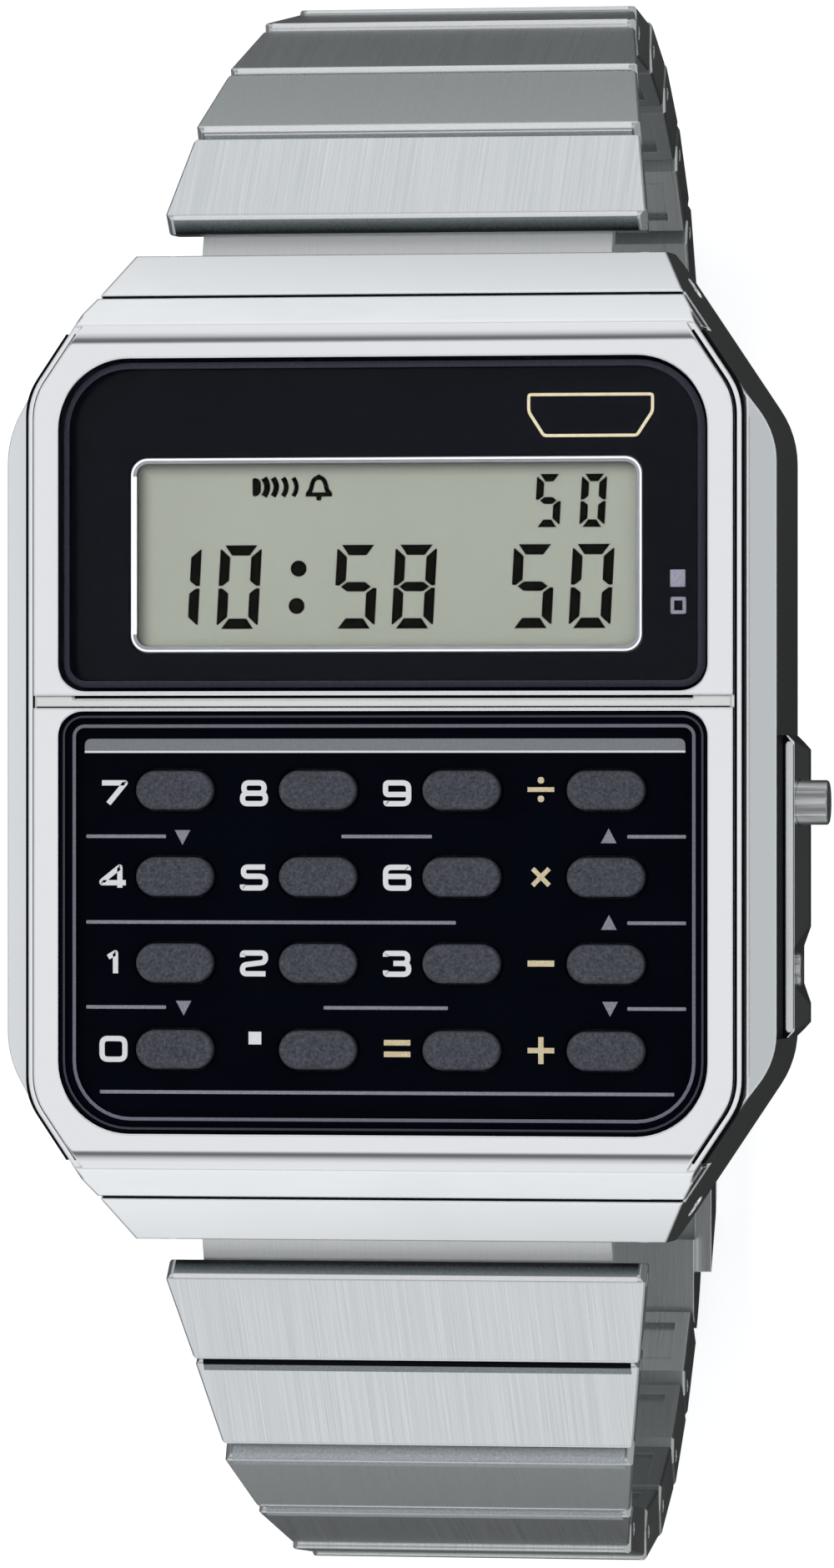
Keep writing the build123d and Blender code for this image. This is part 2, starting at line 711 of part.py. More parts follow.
# Keypad panel: stepped rim, printed field with a raised bar, a hole for each key and a flange below
panel_insets = (
    (panel_step_inset, panel_step_depth),
    (panel_field_inset, panel_field_depth),
)
with BuildPart() as keypad_panel:
    centre_y, width, tall = window_plan(keypad_top_y, keypad_bottom_y, seat_gap)
    with BuildSketch(level(panel_bottom_depth)) as panel_plan:
        with Locations((0, centre_y)):
            Rectangle(width, tall)
        fillet(panel_plan.vertices().group_by(Axis.Y)[-1], radius=keypad_top_radius - seat_gap)
        fillet(panel_plan.vertices().group_by(Axis.Y)[0], radius=keypad_bottom_radius - seat_gap)
    extrude(amount=panel_bottom_depth - panel_rim_depth)
    for inset, depth in panel_insets:
        centre_y, width, tall = window_plan(keypad_top_y, keypad_bottom_y, inset)
        with BuildSketch(level(depth)) as field:
            with Locations((0, centre_y)):
                Rectangle(width, tall)
            fillet(field.vertices().group_by(Axis.Y)[-1], radius=keypad_top_radius - inset)
            fillet(field.vertices().group_by(Axis.Y)[0], radius=keypad_bottom_radius - inset)
        extrude(amount=depth, mode=Mode.SUBTRACT)
    with BuildSketch(level(panel_field_depth)) as bar:
        with Locations((0, bar_top_y - bar_height / 2)):
            Rectangle(2 * bar_half_width, bar_height)
        fillet(bar.vertices().group_by(Axis.Y)[-1], radius=bar_corner_radius)
    extrude(amount=bar_rise)
    with BuildSketch(level(panel_bottom_depth)) as flange:
        with Locations((0, (panel_flange_top_y + panel_flange_bottom_y) / 2)):
            Rectangle(2 * plate_half_width, panel_flange_top_y - panel_flange_bottom_y)
        fillet(flange.vertices().group_by(Axis.Y)[0], radius=upper_cavity_radius)
    extrude(amount=panel_bottom_depth - panel_flange_depth)
    with BuildSketch(level(panel_bottom_depth)):
        with Locations((key_block_shift, key_centre_y)):
            with GridLocations(column_pitch, row_pitch, key_columns, key_rows):
                SlotOverall(key_width + 2 * side_gap, key_height + 2 * side_gap)
    extrude(amount=panel_bottom_depth, mode=Mode.SUBTRACT)
keypad_panel.part.label = "keypad_panel"
export_step(keypad_panel.part, "parts/keypad_panel.step")

# Keys: pill-shaped caps with a flange that holds each one under the panel
key_flange_top_depth = key_bottom_depth - key_flange_thickness
for row, names in enumerate(key_names):
    for column, key_name in enumerate(names):
        key_x = first_key_x + column * column_pitch
        key_y = first_key_y - row * row_pitch
        with BuildPart() as key:
            with BuildSketch(level(key_bottom_depth)):
                with Locations((key_x, key_y)):
                    SlotOverall(key_width, key_height)
            extrude(amount=key_bottom_depth - key_top_depth)
            fillet(key.edges().group_by(Axis.Z)[-1], radius=key_top_fillet)
            with BuildSketch(level(key_bottom_depth)):
                with Locations((key_x, key_y)):
                    SlotOverall(key_width + 2 * key_flange_width, key_height + 2 * key_flange_width)
            extrude(amount=key_flange_thickness)
        key.part.label = "key_" + key_name
        export_step(key.part, "parts/key_" + key_name + ".step")

# Contact sheet: a rubber mat with a pad under each key
with BuildPart() as key_sheet:
    with BuildSketch(level(sheet_top_depth + sheet_thickness)) as mat:
        with Locations((0, -lower_cavity_half_length / 2)):
            Rectangle(2 * board_half_width, lower_cavity_half_length - side_gap)
        fillet(mat.vertices().group_by(Axis.Y)[0], radius=board_corner_radius)
    extrude(amount=sheet_thickness)
    with BuildSketch(level(board_top_depth - side_gap)):
        with Locations((key_block_shift, key_centre_y)):
            with GridLocations(column_pitch, row_pitch, key_columns, key_rows):
                Circle(sheet_pad_radius)
    extrude(amount=board_top_depth - side_gap - sheet_top_depth)
key_sheet.part.label = "key_sheet"
export_step(key_sheet.part, "parts/key_sheet.step")

# Circuit board with its chip underneath
with BuildPart() as circuit_board:
    with BuildSketch(level(board_bottom_depth)):
        RectangleRounded(2 * board_half_width, 2 * board_half_length, board_corner_radius)
    extrude(amount=board_thickness)
    with BuildSketch(level(board_bottom_depth + chip_thickness)):
        with Locations((0, chip_y)):
            Rectangle(chip_size, chip_size)
    extrude(amount=chip_thickness)
circuit_board.part.label = "circuit_board"
export_step(circuit_board.part, "parts/circuit_board.step")

# Module frame: carries the board above and the battery below, and is notched beside the buttons
notch_height = mode_button_y - adjust_button_y + 2 * (mode_button_radius + clip_radius)
notch_y = (mode_button_y + adjust_button_y) / 2
with BuildPart() as module_frame:
    with BuildSketch(level(module_bottom_depth)):
        RectangleRounded(2 * module_half_width, 2 * module_half_length, module_corner_radius)
    extrude(amount=module_bottom_depth - module_top_depth)
    with BuildSketch(level(module_bottom_depth)):
        with Locations((battery_x, battery_y)):
            Circle(battery_radius + side_gap)
    extrude(amount=battery_thickness + side_gap, mode=Mode.SUBTRACT)
    with BuildSketch(level(board_bottom_depth + chip_thickness + side_gap)):
        with Locations((0, chip_y)):
            Rectangle(chip_size + 2 * side_gap, chip_size + 2 * side_gap)
    extrude(amount=chip_thickness + side_gap, mode=Mode.SUBTRACT)
    with BuildSketch(level(module_bottom_depth)):
        with Locations((module_half_width, notch_y)):
            Rectangle(2 * module_notch_width, notch_height)
    extrude(amount=module_bottom_depth - module_top_depth, mode=Mode.SUBTRACT)
module_frame.part.label = "module_frame"
export_step(module_frame.part, "parts/module_frame.step")

# Battery: a coin cell, its smaller cap towards the board
with BuildPart() as battery:
    with BuildSketch(level(battery_bottom_depth)):
        with Locations((battery_x, battery_y)):
            Circle(battery_radius)
    extrude(amount=battery_thickness - battery_cap_height)
    with BuildSketch(level(battery_top_depth + battery_cap_height)):
        with Locations((battery_x, battery_y)):
            Circle(battery_radius - battery_cap_step)
    extrude(amount=battery_cap_height)
battery.part.label = "battery"
export_step(battery.part, "parts/battery.step")

# Module plate: the sprung sheet that holds the battery, with a contact finger beside each button stem
with BuildPart() as module_plate:
    with BuildSketch(level(plate_bottom_depth)):
        RectangleRounded(
            2 * (module_half_width - plate_margin),
            2 * (module_half_length - plate_margin),
            module_corner_radius,
        )
        with Locations((battery_x, battery_y)):
            Circle(battery_radius - plate_window_margin, mode=Mode.SUBTRACT)
        with Locations((module_half_width, notch_y)):
            Rectangle(2 * module_notch_width - 2 * plate_thickness, notch_height, mode=Mode.SUBTRACT)
    extrude(amount=plate_thickness)
    with BuildSketch(level(plate_bottom_depth)):
        with Locations((finger_x, mode_button_y), (finger_x, adjust_button_y)):
            Rectangle(plate_thickness, finger_width)
    extrude(amount=finger_height)
module_plate.part.label = "module_plate"
export_step(module_plate.part, "parts/module_plate.step")

# Buzzer: a thin disc on the inside of the back cover
with BuildPart() as buzzer:
    with BuildSketch(level(back_depth - seat_gap)):
        with Locations((battery_x, battery_y)):
            Circle(battery_radius - buzzer_margin)
    extrude(amount=buzzer_thickness)
buzzer.part.label = "buzzer"
export_step(buzzer.part, "parts/buzzer.step")

# Back cover, its gasket and its screws
with BuildPart() as back_cover:
    with BuildSketch(level(case_thickness)) as cover_plan:
        Polygon(
            *case_plan(case_half_width - cover_inset - side_gap, cover_half_length, cover_inset),
            align=None,
        )
        cover_sides = cover_plan.vertices().group_by(Axis.X)
        fillet(cover_sides[0] + cover_sides[-1], radius=cover_corner_radius)
    extrude(amount=cover_thickness)
    with Locations(level(case_thickness)):
        with GridLocations(2 * screw_x, 2 * screw_y, 2, 2):
            Hole(screw_thread_radius + running_gap)
    with BuildSketch(level(case_thickness)):
        with GridLocations(2 * screw_x, 2 * screw_y, 2, 2):
            Circle(screw_head_radius + running_gap)
    extrude(amount=screw_head_height, mode=Mode.SUBTRACT)
back_cover.part.label = "back_cover"
export_step(back_cover.part, "parts/back_cover.step")

with BuildPart() as back_gasket:
    with BuildSketch(level(back_depth)):
        outer_inset = gasket_inset + gasket_width
        RectangleRounded(
            2 * (lower_cavity_half_width + outer_inset),
            2 * (lower_cavity_half_length + outer_inset),
            lower_cavity_radius + outer_inset,
        )
        RectangleRounded(
            2 * (lower_cavity_half_width + gasket_inset),
            2 * (lower_cavity_half_length + gasket_inset),
            lower_cavity_radius + gasket_inset,
            mode=Mode.SUBTRACT,
        )
    extrude(amount=gasket_depth)
back_gasket.part.label = "back_gasket"
export_step(back_gasket.part, "parts/back_gasket.step")

with BuildPart() as back_screws:
    with BuildSketch(level(case_thickness)):
        with GridLocations(2 * screw_x, 2 * screw_y, 2, 2):
            Circle(screw_head_radius)
    extrude(amount=screw_head_height - seat_gap)
    with BuildSketch(level(case_thickness)):
        with GridLocations(2 * screw_x, 2 * screw_y, 2, 2):
            Circle(screw_thread_radius)
    extrude(amount=screw_length)
    with BuildSketch(level(case_thickness)):
        with GridLocations(2 * screw_x, 2 * screw_y, 2, 2):
            Rectangle(2 * screw_head_radius, screw_slot_width)
            Rectangle(screw_slot_width, 2 * screw_head_radius)
    extrude(amount=screw_slot_depth, mode=Mode.SUBTRACT)
back_screws.part.label = "back_screws"
export_step(back_screws.part, "parts/back_screws.step")


def side_button(name, button_y, radius, reach, length, edge_fillet):
    """A side button: cap, stem through the case wall and the clip that keeps it in."""
    outer_x = case_half_width + reach
    with BuildPart() as button:
        with BuildSketch(Plane.YZ.offset(outer_x - length)):
            with Locations((button_y, height(button_depth))):
                Circle(radius)
        extrude(amount=length)
        fillet(button.edges().group_by(Axis.X)[-1], radius=edge_fillet)
        with BuildSketch(Plane.YZ.offset(stem_tip_x)):
            with Locations((button_y, height(button_depth))):
                Circle(stem_radius)
        extrude(amount=outer_x - length - stem_tip_x)
        with BuildSketch(Plane.YZ.offset(stem_tip_x)):
            with Locations((button_y, height(button_depth))):
                Circle(clip_radius)
        extrude(amount=clip_thickness)
    button.part.label = name
    export_step(button.part, "parts/" + name + ".step")


side_button(
    "mode_button", mode_button_y, mode_button_radius, mode_button_reach, mode_button_length, button_edge_fillet
)
side_button(
    "adjust_button",
    adjust_button_y,
    adjust_button_radius,
    adjust_button_reach,
    adjust_button_length,
    button_edge_fillet,
)

# Spring bars between the lugs
with BuildPart() as spring_bars:
    for end in (1, -1):
        with BuildSketch(Plane.YZ):
            with Locations((end * spring_bar_y, height(spring_bar_depth))):
                Circle(spring_bar_radius)
        extrude(amount=lug_gap / 2 - side_gap, both=True)
        with BuildSketch(Plane.YZ):
            with Locations((end * spring_bar_y, height(spring_bar_depth))):
                Circle(spring_bar_tip_radius)
        extrude(amount=lug_gap / 2 + spring_bar_tip_length, both=True)
spring_bars.part.label = "spring_bars"
export_step(spring_bars.part, "parts/spring_bars.step")


def end_link(name, side):
    """The narrow link between the lugs, with an eye round the spring bar and one for the first link's pin."""
    start = (side * spring_bar_y, height(spring_bar_depth))
    plane = side_plane(start, neck_slope, side)
    with BuildPart() as neck:
        with BuildSketch(plane):
            Circle(neck_eye_radius)
            with Locations((neck_length, 0)):
                Circle(tongue_eye_radius)
            with Locations((neck_length / 2, tongue_middle)):
                Rectangle(neck_length, tongue_thickness)
        extrude(amount=neck_width / 2, both=True)
        with BuildSketch(plane):
            Circle(spring_bar_radius + running_gap)
            with Locations((neck_length, 0)):
                Circle(link_pin_radius + running_gap)
        extrude(amount=neck_width, both=True, mode=Mode.SUBTRACT)
    neck.part.label = name
    export_step(neck.part, "parts/" + name + ".step")
    return tooth_point(start, neck_slope, side, neck_length, 0)


def band_width(index):
    """Width of the bracelet at the front of a link, narrowing over the first links."""
    share = min(index, tapered_links) / tapered_links
    return band_start_width + (band_end_width - band_start_width) * share


def front_outline(length):
    """Side profile of a link's body: bullnosed outer front corner, slanted inner front corner."""
    quarter = bullnose_radius * (1 - cos(radians(45)))
    with BuildLine() as outline:
        Line((0, -link_half_thickness), (length, -link_half_thickness))
        Line((length, -link_half_thickness), (length, link_half_thickness))
        Line((length, link_half_thickness), (-link_front + bullnose_radius, link_half_thickness))
        ThreePointArc(
            (-link_front + bullnose_radius, link_half_thickness),
            (-link_front + quarter, link_half_thickness - quarter),
            (-link_front, link_half_thickness - bullnose_radius),
        )
        Line((-link_front, link_half_thickness - bullnose_radius), (-link_front, link_chin))
        Line((-link_front, link_chin), (0, -link_half_thickness))
    return outline


def bracelet_link(name, side, origin, slope, index, slot_width, has_tongue):
    """A bracelet link with its pin: a tapered plate, a slot for the tongue before it and its own tongue."""
    profile_plane = side_plane(origin, slope, side)
    plan_plane = top_plane(origin, slope, side)
    front_width = band_width(index)
    back_width = band_width(index + 1)
    body_length = link_pitch - link_front - link_gap
    if not has_tongue:
        body_length = link_pitch - link_front - opening_gap
    with BuildPart() as link:
        with BuildSketch(profile_plane):
            with BuildLine():
                add(front_outline(body_length).line)
            make_face()
        extrude(amount=front_width, both=True)
        with BuildSketch(plan_plane) as plan:
            Polygon(
                (-link_front, front_width / 2),
                (-link_front, -front_width / 2),
                (body_length, -back_width / 2),
                (body_length, back_width / 2),
                align=None,
            )
        extrude(amount=link_pitch, both=True, mode=Mode.INTERSECT)
        flanks = link.faces().sort_by(Axis.X)
        chamfer(flanks[0].edges() + flanks[-1].edges(), length=link_edge_chamfer)
        # Cut front corners
        with BuildSketch(plan_plane):
            for flank in (1, -1):
                Polygon(
                    (-link_front + link_corner_rise, flank * front_width / 2),
                    (-link_front, flank * (front_width / 2 - link_corner_run)),
                    (-link_front - overrun, flank * (front_width / 2 - link_corner_run)),
                    (-link_front - overrun, flank * (front_width / 2 + overrun)),
                    (-link_front + link_corner_rise, flank * (front_width / 2 + overrun)),
                    align=None,
                )
        extrude(amount=link_pitch, both=True, mode=Mode.SUBTRACT)
        # Shallow recesses in the inner face, beside the tongue's slot
        recess_length = body_length - recess_back_wall - tongue_slot_radius
        recess_width = back_width / 2 - recess_margin - slot_width / 2 - recess_margin
        if recess_width > recess_margin:
            with BuildSketch(plan_plane.offset(-link_half_thickness)):
                recess_x = tongue_slot_radius + recess_length / 2
                recess_y = slot_width / 2 + recess_margin + recess_width / 2
                with Locations((recess_x, recess_y), (recess_x, -recess_y)):
                    Rectangle(recess_length, recess_width)
            extrude(amount=recess_depth, mode=Mode.SUBTRACT)
        with BuildSketch(profile_plane):
            Polygon(
                (-link_front - overrun, -link_half_thickness - overrun),
                (tongue_slot_radius, -link_half_thickness - overrun),
                (tongue_slot_radius, tongue_slot_roof),
                (-link_front - overrun, tongue_slot_roof),
                align=None,
            )
            Circle(tongue_slot_radius)
        extrude(amount=slot_width / 2, both=True, mode=Mode.SUBTRACT)
        with BuildSketch(profile_plane):
            Circle(link_pin_radius + pin_gap)
        extrude(amount=front_width, both=True, mode=Mode.SUBTRACT)
        if has_tongue:
            with BuildSketch(profile_plane):
                with Locations((link_pitch, 0)):
                    Circle(tongue_eye_radius)
                with Locations((link_pitch - (link_front + overrun) / 2, tongue_middle)):
                    Rectangle(link_front + overrun, tongue_thickness)
            extrude(amount=tongue_width / 2, both=True)
            with BuildSketch(profile_plane):
                with Locations((link_pitch, 0)):
                    Circle(link_pin_radius + running_gap)
            extrude(amount=tongue_width, both=True, mode=Mode.SUBTRACT)
        with BuildSketch(profile_plane):
            Circle(link_pin_radius)
        extrude(amount=front_width / 2 - pin_end_inset, both=True)
    link.part.label = name
    export_step(link.part, "parts/" + name + ".step")
    return tooth_point(origin, slope, side, link_pitch, 0)


def bracelet_half(side, hour, slopes, open_ended):
    """One half of the bracelet, from its spring bar to the pivot at the clasp."""
    pivot = end_link("end_link_" + hour, side)
    slot = neck_width + 2 * side_gap
    for index, slope in enumerate(slopes):
        pivot = bracelet_link("link_%s_%d" % (hour, index + 1), side, pivot, slope, index, slot, True)
        slot = tongue_width + 2 * side_gap
    last_slope = 180 - degrees(asin((pivot[1] - height(loop_depth)) / link_pitch))
    last_name = "link_%s_%d" % (hour, len(slopes) + 1)
    return bracelet_link(last_name, side, pivot, last_slope, len(slopes), slot, not open_ended)


twelve_end = bracelet_half(1, "12", twelve_side_slopes, False)
six_end = bracelet_half(-1, "6", six_side_slopes, True)

# Clasp, seen in planes whose x runs from each half's last pivot under the wrist and whose y points outwards
inner_plane = side_plane(twelve_end, clasp_slope, 1)
cover_plane = side_plane(six_end, clasp_slope, -1)
clasp_span = twelve_end[0] - six_end[0]
inner_leaf_reach = clasp_span - first_pin_margin
middle_leaf_length = inner_leaf_reach - second_pin_reach
leaf_window_length = middle_leaf_length - 2 * leaf_window_margin
cover_end_reach = clasp_span - clasp_head_length - opening_gap
cover_flat_end = cover_end_reach - cover_end_curve
cover_pin_reach = clasp_span - second_pin_reach

with BuildPart() as clasp_inner_leaf:
    with BuildSketch(inner_plane):
        with BuildLine():
            add(front_outline(clasp_head_length).line)
        make_face()
    extrude(amount=band_end_width / 2, both=True)
    with BuildSketch(inner_plane):
        Polygon(
            (-link_front - overrun, -link_half_thickness - overrun),
            (tongue_slot_radius, -link_half_thickness - overrun),
            (tongue_slot_radius, tongue_slot_roof),
            (-link_front - overrun, tongue_slot_roof),
            align=None,
        )
        Circle(tongue_slot_radius)
    extrude(amount=tongue_width / 2 + side_gap, both=True, mode=Mode.SUBTRACT)
    with BuildSketch(inner_plane):
        leaf_length = inner_leaf_reach + leaf_eye_radius - tongue_slot_radius
        with Locations((tongue_slot_radius + leaf_length / 2, inner_leaf_offset + leaf_thickness / 2)):
            Rectangle(leaf_length, leaf_thickness)
    extrude(amount=inner_leaf_width / 2, both=True)
    with BuildSketch(top_plane(twelve_end, clasp_slope, 1)):
        with Locations((clasp_head_length + leaf_window_length, 0)):
            SlotOverall(leaf_window_length, leaf_window_width)
    extrude(amount=link_pitch, both=True, mode=Mode.SUBTRACT)
    # Ears that carry the middle leaf's pin
    for flank in (1, -1):
        ear_plane = inner_plane.offset(flank * (middle_leaf_width / 2 + side_gap + ear_width / 2))
        with BuildSketch(ear_plane):
            with Locations((inner_leaf_reach, leaf_pin_offset)):
                Circle(leaf_eye_radius)
            with Locations((inner_leaf_reach, (leaf_pin_offset + inner_leaf_offset) / 2)):
                Rectangle(2 * leaf_eye_radius, leaf_pin_offset - inner_leaf_offset)
        extrude(amount=ear_width / 2, both=True)
    with BuildSketch(inner_plane):
        Circle(link_pin_radius + pin_gap)
        with Locations((inner_leaf_reach, leaf_pin_offset)):
            Circle(leaf_pin_radius + pin_gap)
    extrude(amount=cover_width, both=True, mode=Mode.SUBTRACT)
    with BuildSketch(inner_plane):
        Circle(link_pin_radius)
    extrude(amount=band_end_width / 2 - pin_end_inset, both=True)
    with BuildSketch(inner_plane):
        with Locations((inner_leaf_reach, leaf_pin_offset)):
            Circle(leaf_pin_radius)
    extrude(amount=middle_leaf_width / 2 + side_gap + ear_width, both=True)
clasp_inner_leaf.part.label = "clasp_inner_leaf"
export_step(clasp_inner_leaf.part, "parts/clasp_inner_leaf.step")

with BuildPart() as clasp_middle_leaf:
    with BuildSketch(inner_plane):
        with Locations((inner_leaf_reach - middle_leaf_length / 2, leaf_pin_offset)):
            Rectangle(middle_leaf_length, leaf_thickness)
        with Locations((inner_leaf_reach, leaf_pin_offset), (second_pin_reach, leaf_pin_offset)):
            Circle(leaf_eye_radius)
    extrude(amount=middle_leaf_width / 2, both=True)
    with BuildSketch(inner_plane):
        with Locations((inner_leaf_reach, leaf_pin_offset), (second_pin_reach, leaf_pin_offset)):
            Circle(leaf_pin_radius + running_gap)
    extrude(amount=middle_leaf_width, both=True, mode=Mode.SUBTRACT)
    with BuildSketch(top_plane(twelve_end, clasp_slope, 1)):
        with Locations((inner_leaf_reach - middle_leaf_length / 2, 0)):
            SlotOverall(leaf_window_length, leaf_window_width)
    extrude(amount=link_pitch, both=True, mode=Mode.SUBTRACT)
clasp_middle_leaf.part.label = "clasp_middle_leaf"
export_step(clasp_middle_leaf.part, "parts/clasp_middle_leaf.step")

with BuildPart() as clasp_cover:
    with BuildSketch(cover_plane):
        with BuildLine():
            Polyline(
                (0, -link_half_thickness),
                (clasp_head_length, -link_half_thickness),
                (clasp_head_length, cover_plate_offset),
                (cover_end_reach, cover_plate_offset),
                (cover_end_reach, cover_outer_offset - cover_end_rise),
            )
            TangentArc(
                (cover_flat_end, cover_outer_offset),
                (cover_end_reach, cover_outer_offset - cover_end_rise),
                tangent=(1, 0),
            )
            Line((cover_flat_end, cover_outer_offset), (cover_end_curve, cover_outer_offset))
            TangentArc((cover_end_curve, cover_outer_offset), (-link_front, 0), tangent=(-1, 0))
            ThreePointArc(
                (-link_front, 0),
                (-link_front * cos(radians(45)), -link_half_thickness * cos(radians(45))),
                (0, -link_half_thickness),
            )
        make_face()
    extrude(amount=band_end_width / 2, both=True)
    # Side walls
    for flank in (1, -1):
        wall_plane = cover_plane.offset(flank * (cover_width - cover_wall) / 2)
        with BuildSketch(wall_plane) as wall:
            with BuildLine():
                Polyline(
                    (clasp_head_length / 2, cover_outer_offset - cover_wall_rise),
                    (cover_end_reach, cover_outer_offset - cover_wall_rise),
                    (cover_end_reach, cover_outer_offset - cover_end_rise),
                )
                TangentArc(
                    (cover_flat_end, cover_outer_offset),
                    (cover_end_reach, cover_outer_offset - cover_end_rise),
                    tangent=(1, 0),
                )
                Polyline(
                    (cover_flat_end, cover_outer_offset),
                    (cover_end_curve, cover_outer_offset),
                    (clasp_head_length / 2, cover_outer_offset - cover_wall_rise),
                )
            make_face()
        extrude(amount=cover_wall / 2, both=True)
    # Ears that carry the middle leaf's other pin
    for flank in (1, -1):
        ear_plane = cover_plane.offset(flank * (middle_leaf_width / 2 + side_gap + ear_width / 2))
        with BuildSketch(ear_plane):
            with Locations((cover_pin_reach, leaf_pin_offset)):
                Circle(leaf_eye_radius)
            with Locations((cover_pin_reach, (leaf_pin_offset + cover_outer_offset) / 2)):
                Rectangle(2 * leaf_eye_radius, cover_outer_offset - leaf_pin_offset)
        extrude(amount=ear_width / 2, both=True)
    with BuildSketch(cover_plane):
        with Locations((cover_pin_reach, leaf_pin_offset)):
            Circle(leaf_pin_radius + pin_gap)
    extrude(amount=middle_leaf_width / 2 + side_gap + ear_width, both=True, mode=Mode.SUBTRACT)
    with BuildSketch(cover_plane):
        with Locations((cover_pin_reach, leaf_pin_offset)):
            Circle(leaf_pin_radius)
    extrude(amount=middle_leaf_width / 2 + side_gap + ear_width - pin_gap, both=True)
clasp_cover.part.label = "clasp_cover"
export_step(clasp_cover.part, "parts/clasp_cover.step")
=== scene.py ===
import json
import logging
import math
from dataclasses import dataclass, field
from enum import Enum

import bmesh
import bpy
from mathutils import Matrix, Vector


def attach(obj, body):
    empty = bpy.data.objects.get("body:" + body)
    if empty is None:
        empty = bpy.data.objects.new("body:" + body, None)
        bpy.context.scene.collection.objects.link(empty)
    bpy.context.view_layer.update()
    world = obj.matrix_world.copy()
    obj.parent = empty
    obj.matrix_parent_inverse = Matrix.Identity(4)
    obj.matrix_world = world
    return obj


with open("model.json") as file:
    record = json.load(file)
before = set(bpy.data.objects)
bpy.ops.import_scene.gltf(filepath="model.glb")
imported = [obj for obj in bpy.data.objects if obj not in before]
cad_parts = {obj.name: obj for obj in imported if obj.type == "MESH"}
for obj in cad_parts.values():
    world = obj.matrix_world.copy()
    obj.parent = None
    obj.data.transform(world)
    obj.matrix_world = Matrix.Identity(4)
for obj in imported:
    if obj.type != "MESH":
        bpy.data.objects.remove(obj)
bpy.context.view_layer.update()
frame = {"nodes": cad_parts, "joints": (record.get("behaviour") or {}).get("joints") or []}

MM = 0.001
LAYER = 0.003
LOG = logging.getLogger("calculator_watch")

Point = tuple[float, float]
Path = list[Point]
Triple = tuple[float, float, float]
Colour = tuple[float, float, float, float]
Points = tuple[Point, ...]
Run = tuple[float, ...]
Socket = bpy.types.NodeSocket
Sockets = bpy.types.bpy_prop_collection
Mesh = bmesh.types.BMesh
Vert = bmesh.types.BMVert


def tint(code: str) -> Colour:
    """Turns a written colour into the shader's linear numbers.

    Args:
        code: Six hexadecimal digits, red first.

    Returns:
        Red, green, blue and a full alpha.
    """
    parts = [int(code[i : i + 2], 16) / 255 for i in (0, 2, 4)]
    linear = [p / 12.92 if p <= 0.04045 else ((p + 0.055) / 1.055) ** 2.4 for p in parts]
    return (linear[0], linear[1], linear[2], 1.0)


def top_of(node: str) -> float:
    """Finds how high a CAD node reaches.

    Args:
        node: The node's name.

    Returns:
        The height of its highest point, in millimetres.
    """
    part = frame["nodes"][node]
    return max((part.matrix_world @ Vector(corner)).z for corner in part.bound_box) / MM


